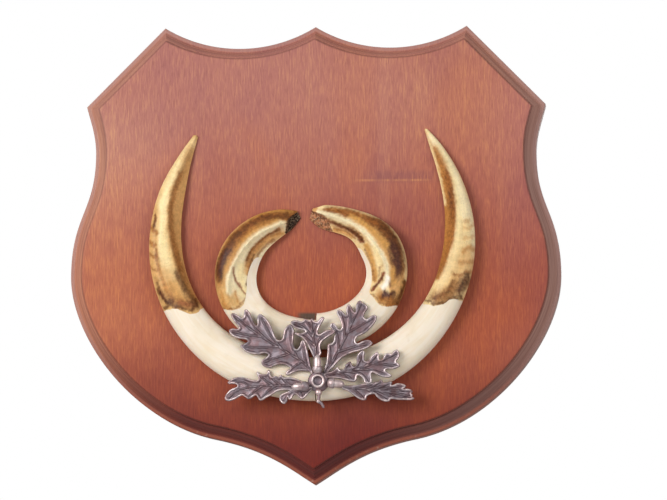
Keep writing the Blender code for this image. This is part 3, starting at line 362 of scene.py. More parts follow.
RIGHT_UPPER = Tusk(
    name="right_upper_tusk", side=1, length=114.1 * MM, root_half_width=9.9 * MM,
    widths=(1, 1.091, 1.11, 1.162, 0.789, 0.68, 0.303), turns=(143, 178, 241, 204, -191),
    thickness_share=UPPER_THICKNESS_SHARE, bottom=UPPER_PAIR_BOTTOM, facet_start=0.3,
    crests=((0.36, 0.6), (0.5, 0), (0.6, -0.25), (0.71, -0.33), (0.87, 0.06), (1, 0.3)),
    gum_line=((-1, 0.69), (-0.87, 0.67), (-0.74, 0.48), (-0.54, 0.352), (-0.19, 0.338), (0.26, 0.325),
              (1, 0.36)),
    break_line=((-1, 0.875), (-0.7, 0.89), (-0.3, 0.905), (0, 0.925), (0.3, 0.98), (0.6, 1)),
    break_colour="flesh", outer="tan", facet="straw",
    strokes=(
        ("tan", 2.4, 0.6, ((0.95, 0.5), (0.85, 0.35), (0.75, 0.15), (0.66, 0.1))),
        ("pale", 1.3, 0.95, ((0.97, 0.8), (0.9, 0.95), (0.8, 1), (0.65, 1), (0.5, 1), (0.45, 0.98))),
        ("rust", 3.2, 0.85, ((0.5, 0.6), (0.6, 0.66), (0.68, 0.68), (0.75, 0.6), (0.83, 0.52),
                             (0.92, 0.45))),
        ("brown", 3.0, 0.85, ((0.47, 0.5), (0.54, 0.62), (0.61, 0.66), (0.67, 0.7), (0.72, 0.62))),
        ("plum", 3.9, 0.95, ((0.525, 0.6), (0.555, 0.58), (0.58, 0.56))),
        ("plum", 1.8, 0.8, ((0.5, 0.6), (0.48, 0.66))),
        ("umber", 1.7, 0.7, ((0.6, 0.72), (0.64, 0.74), (0.68, 0.7))),
        ("rust", 1.2, 0.7, ((0.7, 0.62), (0.78, 0.5), (0.86, 0.48), (0.93, 0.4))),
        ("brown", 1.3, 0.8, ((0.475, 0.42), (0.445, 0.34), (0.43, 0.3))),
        ("honey", 1.6, 0.8, ((0.49, 0.35), (0.46, 0.28), (0.44, 0.5))),
        ("honey", 2.0, 0.8, ((0.6, 0.25), (0.66, 0.2), (0.72, 0.22), (0.8, 0.32))),
        ("cream", 1.6, 1.0, ((0.96, 0.25), (0.904, 0.13), (0.85, 0.06), (0.798, -0.02), (0.74, -0.14),
                             (0.68, -0.2),
                             (0.62, -0.2), (0.556, -0.1), (0.5, 0.02), (0.45, 0.08), (0.42, 0.08))),
        ("white", 1.7, 0.8, ((0.45, 0.1), (0.42, 0.06), (0.4, 0.02))),
        ("pale", 1.6, 0.9, ((0.62, -0.3), (0.57, -0.32), (0.52, -0.32))),
        ("red", 1.5, 0.9, ((0.9, -0.35), (0.86, -0.44), (0.8, -0.5), (0.74, -0.56), (0.69, -0.62))),
        ("umber", 1.1, 0.85, ((0.87, -0.38), (0.81, -0.44), (0.75, -0.48), (0.7, -0.55))),
        ("tan", 1.6, 0.9, ((0.88, -0.85), (0.83, -0.88), (0.77, -0.85))),
        ("rust", 0.7, 0.6, ((0.88, -0.72), (0.81, -0.72), (0.75, -0.78))),
        ("honey", 1.6, 0.9, ((0.66, -0.55), (0.619, -0.55), (0.567, -0.62), (0.492, -0.62), (0.43, -0.55))),
        ("rust", 0.7, 0.6, ((0.64, -0.7), (0.56, -0.75), (0.5, -0.7), (0.43, -0.58))),
        ("rust", 0.6, 0.5, ((0.52, -0.2), (0.49, -0.3), (0.46, -0.4))),
        ("red", 1.0, 0.95, ((0.475, -0.12), (0.44, -0.24), (0.4, -0.38), (0.37, -0.46))),
        ("umber", 0.6, 0.8, ((0.46, -0.14), (0.42, -0.28), (0.39, -0.4))),
        ("ochre", 2.8, 0.95, ((0.362, 0.05), (0.355, 0.4), (0.36, 0.8))),
        ("rust", 1.6, 0.6, ((0.365, 0.1), (0.36, 0.5), (0.37, 0.85))),
        ("plum", 1.9, 0.95, ((0.378, 0.18), (0.38, 0.4), (0.388, 0.56))),
        ("umber", 1.3, 0.85, ((0.37, 0.92), (0.4, 0.9), (0.44, 0.92))),
        ("rust", 0.6, 0.6, ((0.345, -0.45), (0.342, -0.1), (0.334, 0.25), (0.345, 0.6), (0.355, 0.9))),
    ),
    reliefs=((0.8, 0.8, ((0.95, 0.2), (0.87, 0.06), (0.798, -0.04), (0.71, -0.2), (0.631, -0.22),
                         (0.556, -0.11), (0.45, 0.08))),
             (-0.8, 1.3, ((0.9, -0.36), (0.82, -0.46), (0.74, -0.54), (0.68, -0.6))),
             (-0.6, 0.8, ((0.475, -0.12), (0.42, -0.3), (0.37, -0.46))),
             (-0.3, 2.2, ((0.5, 0.55), (0.58, 0.5), (0.7, 0.4), (0.85, 0.4)))))
TUSKS = (LEFT_LOWER, RIGHT_LOWER, LEFT_UPPER, RIGHT_UPPER)

# Oak leaf spray
SPRAY_MIDDLE = (3.7 * MM, -70.6 * MM)
SPRAY_BACK = 34.462 * MM
LEAF_THICKNESS = 1.4 * MM
LEAF_BASE_HEIGHT = 0.7 * MM
DROOP_POWER = 3
LEAF_BEND_SPREAD = 0.25
VEIN_RISE = 0.9 * MM
VEIN_FADE = 0.7
LEAF_EDGE_STEPS = 6
LEAF_SPACING = 0.36 * MM
RIM_INSET = 0.45 * MM
RIM_WIDTH = 0.44 * MM
RIM_RISE = 0.42 * MM
GROOVE_DEPTH = 0.16 * MM
HOLLOW_DEPTH = 0.45 * MM
RIPPLE_SPACING = 1.05 * MM
RIPPLE_RISE = 0.1 * MM
RIPPLE_FADE = 2.6 * MM
CREST_WIDTH = 0.27 * MM
CREST_RISE = 0.22 * MM
CREST_REACH = 1.2 * MM
GROOVE_PLACE = 0.62 * MM
GROOVE_WIDTH = 0.26 * MM
HOLLOW_REACH = 3.5 * MM
EDGE_DROP = 0.3 * MM
EDGE_DROP_WIDTH = 0.12 * MM
BLADE_START = 0.8 * MM
BLADE_EASE = 0.9 * MM
SHADE_INSET = 1.45 * MM
SHADE_WIDTH = 0.4 * MM
UNEVEN_RISE = 0.12 * MM
EDGE_SAMPLING = 0.08 * MM
VEIN_SAMPLING = 0.12 * MM
EDGE_ROWS = (0.17 * MM, RIM_INSET, 0.6 * MM, 0.9 * MM)
GRID_START = 1.1 * MM
SPRAY_SHARP = math.radians(60)
BOSS_RADIUS = 5.8 * MM
BOSS_HEIGHT = 3.2 * MM
CUP_RADIUS = 3.7 * MM
CUP_HEIGHT = 4.2 * MM
CUP_WALL = 1.1 * MM
CUP_HOLLOW_DEPTH = 2.4 * MM
ACORN_NUT_RADIUS = 2.1 * MM
ACORN_CUP_RADIUS = 2.9 * MM
ACORN_CUP_LENGTH = 3.8 * MM
ACORN_SEAT_SHARE = 0.6
CUP_SEAT_SHARE = 0.5
STALK_RADII_MM = (0.9, 0.8)
STALK_HEIGHT = 1.4 * MM
STALK_SIDES = 16
TURNED_SIDES = 56
KNURL_ROWS = 5
KNURL_STUDS = 14
KNURL_RISE = 0.16 * MM


@dataclass
class Leaf:
    """An oak leaf: its place on the spray, its drawn outline and veins, and how it bends."""
    base: tuple
    length: float
    heading: float
    outline: tuple
    veins: tuple
    tip_lift: float
    cup: float


# A leaf's outline and veins are drawn on one sheet, x to the right and y down. The first vein is the
# midrib, from the leaf's base to its tip.
UPPER_LEFT_LEAF = Leaf(
    base=(-4.5 * MM, 6.7 * MM), length=52.3 * MM, heading=144.7,
    outline=(
        (313, 372), (311, 366), (308.8, 357), (306.7, 347.5), (305, 342), (303, 340), (301, 341.5),
        (299.8, 345),
        (298.5, 347.8), (296.5, 349), (294.5, 347.5), (293.3, 343), (293.8, 336), (294, 330),
        (292.5, 326.5), (290, 324.3), (286.5, 326.5), (284, 330.5), (283, 335.5), (282.3, 338.6),
        (280, 340), (277, 339.3), (275, 336), (273, 331), (270.5, 325), (267, 319.5), (263, 315.5),
        (259.5, 313.8), (257.4, 316), (257, 320), (257.2, 323.5), (256.2, 325.3), (254.5, 323.5),
        (252, 318), (249.5, 312.5), (246.5, 309.3), (244.3, 309.8), (243.6, 312.5), (243.5, 316),
        (241.8, 317.4), (239.5, 316), (236, 314), (232.5, 312.6), (230.6, 314.3), (231.5, 317.5),
        (234.5, 322), (238, 325.8), (238.6, 328), (236, 328.5), (232.5, 328), (229.3, 329.3),
        (229, 332), (231.5, 335), (235, 337), (240, 338.5), (245.5, 339.3), (247.7, 341), (245.5, 343),
        (240.7, 345), (241.5, 347.5), (245, 351), (251, 353.5), (258, 354.2), (263, 353.2), (266.5, 353.5),
        (268.3, 355.2), (265.8, 357.5), (262.2, 360), (261.6, 363), (263, 365.5), (266.5, 367),
        (270.5, 367.5), (276, 365), (282, 364), (287.5, 365.8), (290.3, 368), (287.3, 370.5),
        (285.6, 374), (288.5, 375), (293, 372.8), (299, 370.8), (305, 370.8),
        (309.5, 372), (312, 375)),
    veins=(
        ((310, 369), (303, 362.3), (293, 355.8), (283, 349.8), (272, 343.3), (262, 337), (253, 331),
         (245, 325), (238, 319), (232, 314)),
        ((306.5, 365), (304.3, 353), (303, 343)), ((298, 359), (291.8, 345), (289.8, 327.5)),
        ((283, 349.8), (270.5, 335), (260.5, 317)), ((268, 340.7), (256, 329), (246.5, 312)),
        ((262, 337), (246, 334.3), (231.5, 331)), ((278, 347), (262, 347.3), (243.5, 346.7)),
        ((290, 354), (277, 357.5), (264.5, 361.8)), ((302, 361.7), (294, 367), (287.7, 372.8))),
    tip_lift=-1.7 * MM, cup=-0.008)
UPPER_RIGHT_LEAF = Leaf(
    base=(3.9 * MM, 4.6 * MM), length=42.8 * MM, heading=63.1,
    outline=(
        (323.5, 371), (326, 362), (327.2, 352), (327.3, 346.3), (328.5, 343.8), (331.5, 343),
        (333.3, 340.8), (333.8, 337), (334.5, 333), (332.3, 330), (330, 327), (330.6, 323.6),
        (333, 322.8), (336, 325), (338, 328.3), (340.3, 329), (341.4, 326.3), (340.5, 322), (338.5, 317),
        (336.4, 313), (337, 310.3), (339.5, 309), (342.5, 311), (345, 314), (346.2, 314.3), (345.8, 311),
        (346.3, 306.5), (348, 303.8), (350.3, 304.8), (352.5, 309), (354.3, 311.7), (355.5, 309),
        (356, 304), (357.5, 300.8), (360, 299.8), (363, 302.3), (366.5, 304.8), (367.4, 307.5),
        (366, 310), (364.4, 312.5), (363.6, 315.5), (365, 318), (367, 318.5), (369.5, 316.5),
        (373, 314.6), (376, 315.2), (376.6, 318), (375, 322), (371, 327), (366, 332), (360, 335.2),
        (357, 337), (355.5, 340), (356.3, 342.6), (358.5, 343), (362, 341.3), (367, 339.9), (371, 341),
        (372.4, 343.5), (370.5, 346.2), (366, 348.7), (360, 350.7), (352, 352.7), (345, 355.7),
        (340, 359.3), (335, 365), (330, 370.3), (326, 374)),
    veins=(
        ((325.3, 372.7), (332.5, 362), (338, 352), (343, 342.5), (348, 332), (352.3, 321.5), (357, 311.5),
         (361, 302.5)),
        ((330, 366), (330.3, 355), (329.3, 346.5)), ((338.7, 350.5), (337.7, 338), (333.7, 326)),
        ((344.7, 339), (343.8, 325), (340, 312)), ((349.6, 328), (350.2, 317), (348.8, 306.7)),
        ((347.5, 333), (360, 325.5), (373.5, 317.5)), ((338, 352), (352, 347.5), (369, 343.5))),
    tip_lift=-2.6 * MM, cup=0.02)
RIGHT_LEAF = Leaf(
    base=(3.9 * MM, 2.7 * MM), length=40.7 * MM, heading=17.9,
    outline=(
        (324, 373), (331, 371.3), (335.3, 368.8), (337.8, 366.8), (339, 369), (341.5, 369.6),
        (344, 368.5), (345, 365.2), (347, 363), (350, 361.3), (351.5, 363.5), (352.6, 365.6),
        (355, 366), (356.5, 363), (356.4, 358), (357.5, 354.5), (360, 351.5), (362.7, 350),
        (364.7, 352), (364.2, 356), (364.4, 359.8), (366.5, 361), (368.8, 360), (371, 356.5),
        (374, 353.5), (377.5, 351.8), (379, 354.3), (379, 358), (380.5, 359.5), (382.6, 358.3),
        (384.5, 354.5), (387.5, 352.8), (391, 353.5), (393.5, 351), (396.5, 349.3), (398.7, 351.3),
        (399.4, 355.5), (398, 358.5), (396, 361.3), (398, 363), (399.9, 365.5), (397.5, 367.7),
        (393, 369), (388, 369), (385.3, 370.2), (388, 372.6), (391.7, 375.3), (390, 377.2),
        (385, 377.4), (380, 376), (376, 374), (372.5, 372.7), (371, 374.5), (372, 379), (371.5, 382.8),
        (368, 384), (364.7, 382.8), (363, 379), (360, 376.2), (357.2, 376), (356.5, 379.5),
        (354, 381.7), (350, 381.3), (345, 379.8), (338, 378.3), (330, 378), (325, 378)),
    veins=(
        ((325.3, 376.2), (335, 373.5), (345, 371.5), (355, 369.5), (365, 366.5), (375, 362.5),
         (385, 359), (396.5, 353)),
        ((337, 373), (344, 369), (349.3, 363)), ((350, 370.5), (358, 364), (362, 352.5)),
        ((364, 366.8), (371, 361.5), (377, 354)), ((371, 364.1), (385, 364.5), (397.5, 366)),
        ((355, 369.5), (372, 370.3), (389.5, 376)), ((346, 371.3), (361, 374), (368, 382)),
        ((337, 373), (346, 375.5), (353, 380))),
    tip_lift=-0.5 * MM, cup=0.02)
LOWER_LEFT_LEAF = Leaf(
    base=(-7.7 * MM, -2.6 * MM), length=42.3 * MM, heading=188.7,
    outline=(
        (311.5, 384), (303, 381.5), (297, 378.8), (290, 377), (285, 377.2), (283.2, 376.8), (281.7, 374.8),
        (279.3, 375), (278.6, 376.8), (275, 375.8), (271.3, 376.3), (270.3, 373.5), (269.4, 369.9),
        (267.6, 370), (266.5, 373.3), (264, 374), (260, 373.3), (257.6, 371.4), (256, 372.5),
        (257.4, 376), (258, 379), (256, 380), (251, 379.3), (246, 377.6), (240, 376.6), (234, 377.3),
        (229, 379.8), (226.8, 382), (228.5, 383.6), (232.5, 383.4), (236, 384.3), (236.5, 386),
        (234, 387.3), (229, 389.8), (225.5, 393.8), (224, 398), (226, 400.2), (230, 400.4),
        (235, 398.5), (239, 396.2), (242, 395.2), (244.5, 396.6), (247.5, 398.7), (250.5, 398.2),
        (254, 396), (255.8, 395.3), (257.5, 397.5), (259.3, 400.2), (262.3, 400), (266, 397.7),
        (270, 395.7), (274, 393.2), (277, 391.3), (283, 390), (290, 390.2), (297, 390),
        (303, 389.5), (312, 388)),
    veins=(
        ((304, 386), (292, 385.5), (280, 385.5), (268, 385.7), (256, 386.3), (245, 387.8), (236, 390.7),
         (227.3, 398)),
        ((290, 385.5), (285, 381), (280.8, 376.3)), ((281, 385.5), (273, 379), (268.5, 371)),
        ((273, 385.6), (264, 379.5), (257.5, 372.8)), ((252, 386.7), (240, 381.3), (229, 381.7)),
        ((262, 386), (254, 391.5), (247.8, 397.5)), ((276, 385.5), (268, 391), (260.5, 399))),
    tip_lift=-2.5 * MM, cup=-0.008)
LOWER_RIGHT_LEAF = Leaf(
    base=(13 * MM, -3.1 * MM), length=37.9 * MM, heading=-8.2,
    outline=(
        (342, 385), (348, 385.4), (356, 384.8), (363, 383.5), (370, 382.4), (375, 382), (378, 381.3),
        (380, 379.3), (382.2, 380.3), (383.5, 382.3), (387, 382), (390, 380.8), (392, 382.3),
        (391, 384.3), (393.5, 384.2), (397, 382.7), (402, 383.2), (405.5, 384.8), (404.7, 387),
        (402.8, 388.2), (406, 388), (410, 388.6), (412.3, 390.8), (410.8, 392.6), (412.3, 394),
        (411.8, 395.6), (413.8, 397.5), (411, 399.2), (405, 399.3), (398, 399.3), (391, 398.7),
        (389, 400.7), (385, 401.2), (380, 399.6), (376.5, 396.6), (374, 394), (370, 394.5),
        (367, 396), (366, 399), (363.5, 400.2), (359.5, 399.2), (355.5, 396.6), (351.5, 393.6),
        (347, 390.6), (342, 388.7)),
    veins=(
        ((342, 386.8), (352, 387.8), (362, 388.8), (372, 389.8), (382, 391), (392, 392.5), (402, 394.2),
         (411, 396.5)),
        ((362, 388.8), (372, 386.3), (380, 380.8)), ((368, 389.4), (380, 386.5), (390.5, 382.3)),
        ((376, 390.3), (390, 387.2), (404, 385.3)), ((384, 391.3), (398, 389.8), (411, 390.6)),
        ((378, 390.5), (392, 396), (405, 398.2)), ((366, 389.2), (376, 393.5), (387, 400)),
        ((352, 387.8), (358, 393), (364, 399))),
    tip_lift=-4.5 * MM, cup=-0.015)
UPRIGHT_LEAF = Leaf(
    base=(-0.7 * MM, 12.1 * MM), length=21.1 * MM, heading=99.3,
    outline=(
        (314.5, 359), (311, 352), (307.5, 345), (303, 338.7), (298, 335.9), (294.8, 334),
        (295.8, 332.3), (300, 333), (303.5, 332), (304.8, 330.8), (298.5, 329), (293.7, 327),
        (291, 323.5), (292, 320.6), (296, 319.8), (300, 320.8), (302.3, 320.3), (304.8, 318.2),
        (307, 318.8), (309, 319.5), (312, 317.8), (314, 320.2), (316.3, 321.3), (318, 320.3),
        (320, 317.8), (322.5, 316.5), (324.2, 318), (322.5, 321.7), (320, 325.7), (318.2, 330),
        (318, 333.5), (320, 334), (323, 332.2), (327.5, 330.2), (332, 329.5), (335.2, 331),
        (334.5, 333.7), (331, 335.7), (326.5, 338.2), (322.5, 341.2), (320.5, 344.7), (320.5, 349),
        (321.3, 353), (319.5, 357), (318.7, 359.5)),
    veins=(
        ((317, 359), (315.5, 350), (313.7, 340), (312, 330), (310.8, 320.8)),
        ((314.8, 346), (306, 337.7), (296.5, 334)), ((313.2, 337), (304, 327.8), (293.3, 322.5)),
        ((315.2, 348), (321, 338), (333, 331.7)), ((313, 336), (316.5, 326.5), (322.3, 318.2)),
        ((312.2, 331), (309, 325), (305.5, 319.8))),
    tip_lift=-1.5 * MM, cup=0.03)
LEAF_BEHIND_ACORN = Leaf(
    base=(-7.2 * MM, -5 * MM), length=13.3 * MM, heading=207.9,
    outline=(
        (305, 388.8), (312.5, 385.5), (312.5, 389), (308, 394), (305.5, 397), (302, 399.2),
        (298.5, 397), (296, 394.7),
        (293.3, 395.5), (291.3, 399), (289, 399.6), (287.6, 397.3), (287.2, 401), (284.5, 403.7),
        (281.3, 402.7), (279.3, 399), (280, 395.3), (283, 393.3), (287, 391.7), (291, 389.5),
        (297, 388.8)),
    veins=(
        ((305, 390.5), (296, 391.5), (289, 393.8), (283.4, 402)),
        ((299.5, 391.1), (301, 394), (302, 398))),
    tip_lift=-0.4 * MM, cup=-0.01)
LEAVES = (UPPER_LEFT_LEAF, UPPER_RIGHT_LEAF, RIGHT_LEAF,
          LOWER_LEFT_LEAF, LOWER_RIGHT_LEAF, UPRIGHT_LEAF, LEAF_BEHIND_ACORN)

# An acorn is (x, z, heading in degrees, nut length), from the closed end of its cup, in mm.
ACORNS = ((-0.2, 4, 91, 6.6), (-4.6, -2.9, 182, 6), (5.2, -1.1, -5, 5.6))
STALKS = (
    ((0, 2), (-0.4, 8), (-0.4, 15)),
    ((3, -1), (9, -2.4), (16, -3)),
    ((0, 0), (-3, -1.8), (-6, -2.6)),
    ((0, 0), (3, -1), (6, -1.6)),
    ((0, -4), (0.4, -8), (0.2, -10.5), (1.9, -12.2), (3.2, -14.6)),
)

# A bead on the twig is (x, z, radius), in mm.
BEADS = ((0.1, -5.9, 1.9), (0.1, -10.8, 1.1))


def node_material(name):
    """Return a new material, its node tree and its shader."""
    made = bpy.data.materials.new(name)
    made.use_nodes = True
    tree = made.node_tree
    return made, tree, tree.nodes["Principled BSDF"]


class Nodes:
    """Short calls that add and link shader nodes in one tree."""

    def __init__(self, tree):
        self.tree = tree

    def add(self, kind, inputs=None, **settings):
        node = self.tree.nodes.new(kind)
        for key, value in settings.items():
            setattr(node, key, value)
        for key, value in (inputs or {}).items():
            self.feed(value, node.inputs[key])
        return node

    def feed(self, value, socket):
        """Link a socket to an input, or set the input to a plain value."""
        if isinstance(value, bpy.types.NodeSocket):
            self.tree.links.new(value, socket)
        else:
            socket.default_value = value

    def coordinates(self):
        return self.add("ShaderNodeTexCoord").outputs["Object"]

    def scaled(self, vector, scale):
        mapped = self.add("ShaderNodeMapping", {"Vector": vector, "Scale": scale})
        return mapped.outputs["Vector"]

    def noise(self, vector, scale, detail=3.0, rough=0.5, distortion=0.0):
        inputs = {"Vector": vector, "Scale": scale, "Detail": detail, "Roughness": rough,
                  "Distortion": distortion}
        return self.add("ShaderNodeTexNoise", inputs).outputs["Fac"]

    def attribute(self, name):
        return self.add("ShaderNodeAttribute", attribute_name=name).outputs["Fac"]

    def math(self, operation, first, second=0.0):
        return self.add("ShaderNodeMath", {0: first, 1: second}, operation=operation).outputs[0]

    def span(self, value, low, high, to_low=0.0, to_high=1.0):
        """Return a value eased from one range to another, and held beyond its ends."""
        inputs = {"Value": value, "From Min": low, "From Max": high, "To Min": to_low, "To Max": to_high}
        node = self.add("ShaderNodeMapRange", inputs, interpolation_type="SMOOTHSTEP")
        return node.outputs["Result"]

    def mix(self, factor, first, second, blend="MIX"):
        """Return two colours mixed, each a socket or three numbers."""
        node = self.add("ShaderNodeMix", {"Factor": factor}, data_type="RGBA", blend_type=blend)
        for colour, name in ((first, "A"), (second, "B")):
            plain_colour = not isinstance(colour, bpy.types.NodeSocket)
            self.feed((*colour, 1) if plain_colour else colour, node.inputs[name])
        return node.outputs["Result"]

    def bump(self, height, distance, strength):
        node = self.add("ShaderNodeBump", {"Height": height, "Distance": distance, "Strength": strength})
        return node.outputs["Normal"]

    def times(self, first, *others):
        for other in others:
            first = self.math("MULTIPLY", first, other)
        return first

    def moved(self, value, pattern, amount):
        """Return a value that noise moves up and down by half the amount at most."""
        return self.math("ADD", value, self.times(self.math("SUBTRACT", pattern, 0.5), amount))

    def cast(self, factor, colour, tone):
        """Return a colour that is multiplied by a tone where the factor is 1."""
        return self.mix(factor, colour, self.mix(1.0, colour, tone, "MULTIPLY"))

    def near(self, value, middle, far, close):
        """Return 1 where a value is close to the middle and 0 where it is far from it."""
        return self.span(self.math("ABSOLUTE", self.math("SUBTRACT", value, middle)), far, close)

    def mark(self, x, z, mark):
        """Return 1 in the core of a soft mark and 0 outside the mark."""
        middle_x, middle_z, width, core_width, height, core_height = mark
        across = self.near(x, middle_x, width, core_width)
        return self.times(across, self.near(z, middle_z, height, core_height))


def heading_vector(angle):
    """Return the unit vector in the board's plane, as (x, z), at that angle from +X."""
    return Vector((math.cos(angle), math.sin(angle)))


def bezier(start, start_turn, end, end_turn, reaches, steps):
    """Return points from after start up to end, on a curve that leaves and arrives at those turns."""
    span = (end - start).length
    near = start + heading_vector(start_turn) * reaches[0] * span
    far = end - heading_vector(end_turn) * reaches[1] * span
    points = []
    for step in range(1, steps + 1):
        t = step / steps
        points.append(start * (1 - t) ** 3 + near * 3 * t * (1 - t) ** 2
                      + far * 3 * t * t * (1 - t) + end * t ** 3)
    return points


def scallop(start, end, depth, steps):
    """Return an arc from after start up to end that sags by depth below the straight line."""
    middle = (start + end) / 2
    half_chord = (end - start).length / 2
    radius = (half_chord ** 2 + depth ** 2) / (2 * depth)
    across = (end - start).normalized()
    up = Vector((-across.y, across.x))
    centre = middle + up * (radius - depth)
    half_angle = math.asin(half_chord / radius)
    points = []
    for step in range(1, steps + 1):
        angle = half_angle * (2 * step / steps - 1)
        points.append(centre + across * radius * math.sin(angle) - up * radius * math.cos(angle))
    return points


def outline_runs():
    """Return the right half of the shield's outline as three smooth runs: scallop, shoulder and side."""
    top = TOP_ABOVE_MOUNT
    middle_peak = Vector((0, top))
    peak = Vector((PEAK_HALF_WIDTH, top))
    shoulder = Vector((SHOULDER_HALF_WIDTH, top - SHOULDER_DROP))
    waist = Vector((WAIST_HALF_WIDTH, top - WAIST_DROP))
    hip = Vector((HIP_HALF_WIDTH, top - HIP_DROP))
    flank = Vector((FLANK_HALF_WIDTH, top - FLANK_DROP))
    tip = Vector((0, top - TIP_DROP))
    down = math.radians(-90)
    bends = ((shoulder, SHOULDER_TURN), (waist, down), (hip, down), (flank, FLANK_TURN), (tip, TIP_TURN))
    reaches = (SHOULDER_REACHES, WAIST_REACHES, HIP_REACHES, FLANK_REACHES)
    side = [shoulder]
    for start, end, reach, steps in zip(bends, bends[1:], reaches, SIDE_STEPS):
        side += bezier(*start, *end, reach, steps)
    straight = [peak.lerp(shoulder, step / STRAIGHT_STEPS) for step in range(STRAIGHT_STEPS + 1)]
    return [[middle_peak] + scallop(middle_peak, peak, SCALLOP_DEPTH, SCALLOP_STEPS), straight, side]


def inset_run(points, inset):
    """Return a run moved to its right by inset, which is towards the inside of the board."""
    moved = []
    for index, point in enumerate(points):
        ahead = points[min(index + 1, len(points) - 1)] - points[max(index - 1, 0)]
        ahead.normalize()
        moved.append(point + Vector((ahead.y, -ahead.x)) * inset)
    return moved


def crossing(first, second):
    """Return where the end of one run meets the start of the next, as (index, index, point)."""
    for back in range(len(first) - 2, -1, -1):
        a, b = first[back], first[back + 1]
        for ahead in range(len(second) - 1):
            c, d = second[ahead], second[ahead + 1]
            r, s = b - a, d - c
            cross = r.x * s.y - r.y * s.x
            if abs(cross) < PARALLEL_LIMIT:
                continue
            t = ((c.x - a.x) * s.y - (c.y - a.y) * s.x) / cross
            u = ((c.x - a.x) * r.y - (c.y - a.y) * r.x) / cross
            if -TOLERANCE <= t <= 1 + TOLERANCE and -TOLERANCE <= u <= 1 + TOLERANCE:
                return back, ahead, a + r * t
    return len(first) - 2, 0, first[-1]


def even_points(points, count):
    """Return count + 1 points at even distances along a run."""
    lengths = [0.0]
    for a, b in zip(points, points[1:]):
        lengths.append(lengths[-1] + (b - a).length)
    spread = []
    index = 0
    for step in range(count + 1):
        wanted = lengths[-1] * step / count
        while index < len(points) - 2 and lengths[index + 1] < wanted:
            index += 1
        gap = lengths[index + 1] - lengths[index]
        spread.append(points[index].lerp(points[index + 1], (wanted - lengths[index]) / gap if gap else 0))
    return spread


def board_ring(runs, counts, inset):
    """Return the whole outline moved inwards by inset, with its corners kept sharp."""
    moved = [inset_run(run, inset) for run in runs]
    if inset > 0:
        scallop_run, straight, side = moved
        first = next(i for i, point in enumerate(scallop_run) if point.x > 0)
        a, b = scallop_run[first - 1], scallop_run[first]
        scallop_run = [a.lerp(b, -a.x / (b.x - a.x))] + scallop_run[first:]
        index, start, point = crossing(scallop_run, straight)
        scallop_run = scallop_run[:index + 1] + [point]
        straight = [point] + straight[start + 1:]
        index, start, point = crossing(straight, side)
        straight = straight[:index + 1] + [point]
        side = [point] + side[start + 1:]
        last = max(i for i, point in enumerate(side) if point.x > 0)
        if last + 1 < len(side):
            a, b = side[last], side[last + 1]
            side = side[:last + 1] + [a.lerp(b, a.x / (a.x - b.x))]
        moved = [scallop_run, straight, side]
    half = []
    for run, count in zip(moved, counts):
        half += even_points(run, count)[:-1]
    half.append(Vector((0, moved[-1][-1].y)))
    half[0].x = 0
    other = [Vector((-point.x, point.y)) for point in half[1:-1]]
    return half + other[::-1]


def moulding_profile():
    """Return (inset, height above the wall) from the back's edge to the face."""
    profile = [(BACK_BEVEL, 0), (BACK_BEVEL * 0.3, BACK_BEVEL * 0.3), (0, BACK_BEVEL)]
    side_top = LIP_HEIGHT - LIP_ROUND
    for step in range(1, EDGE_STEPS + 1):
        profile.append((0, BACK_BEVEL + (side_top - BACK_BEVEL) * step / EDGE_STEPS))
    for step in range(1, ROUND_STEPS + 1):
        angle = math.pi / 2 * step / ROUND_STEPS
        profile.append((LIP_ROUND * (1 - math.cos(angle)), side_top + LIP_ROUND * math.sin(angle)))
    profile.append((LIP_WIDTH, LIP_HEIGHT))
    for step in range(1, OGEE_STEPS + 1):
        share = step / OGEE_STEPS
        rise = (1 - math.cos(math.pi * share)) / 2
        profile.append((LIP_WIDTH + OGEE_WIDTH * share, LIP_HEIGHT + OGEE_RISE * rise))
    edge = LIP_WIDTH + OGEE_WIDTH
    profile.append((edge, BOARD_THICKNESS - FACE_EDGE_ROUND))
    for step in range(1, ROUND_STEPS + 1):
        angle = math.pi / 2 * step / ROUND_STEPS
        profile.append((edge + FACE_EDGE_ROUND * (1 - math.cos(angle)),
                        BOARD_THICKNESS - FACE_EDGE_ROUND * (1 - math.sin(angle))))
    profile.append((edge + FACE_EDGE_ROUND + FACE_MARGIN, BOARD_THICKNESS))
    return profile


def new_object(name, bm, surface, sharp):
    """Put a finished bmesh into a new smooth object whose edges are sharp above an angle."""
    mesh = bpy.data.meshes.new(name)
    bmesh.ops.recalc_face_normals(bm, faces=bm.faces[:])
    bm.to_mesh(mesh)
    bm.free()
    mesh.materials.append(surface)
    mesh.shade_smooth()
    mesh.set_sharp_from_angle(angle=sharp)
    made = bpy.data.objects.new(name, mesh)
    bpy.context.scene.collection.objects.link(made)
    return made


def skin(bm, rings):
    """Join neighbouring rings of points with quads and close both ends."""
    for before, after in zip(rings, rings[1:]):
        for index in range(len(before)):
            follow = (index + 1) % len(before)
            bm.faces.new((before[index], before[follow], after[follow], after[index]))
    bm.faces.new(rings[0])
    bm.faces.new(rings[-1])


def make_board(surface):
    """Model the shield with a fine moulding and mitred corners."""
    runs = outline_runs()
    lengths = [sum((b - a).length for a, b in zip(run, run[1:])) for run in runs]
    counts = [round(length / RING_SPACING) for length in lengths]
    bm = bmesh.new()
    inset_layer = bm.verts.layers.float.new("inset")
    behind_layer = bm.verts.layers.float.new("behind")
    rings = []
    for inset, height in moulding_profile():
        ring = board_ring(runs, counts, inset)
        rings.append([bm.verts.new((point.x, -height, point.y)) for point in ring])
        for vert in rings[-1]:
            vert[inset_layer] = inset / MM
            vert[behind_layer] = 1.0 if height == 0 else 0.0
    skin(bm, rings)
    board = new_object("shield_board", bm, surface, MOULDING_SHARP)
    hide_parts("shield")
    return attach(board, "root")


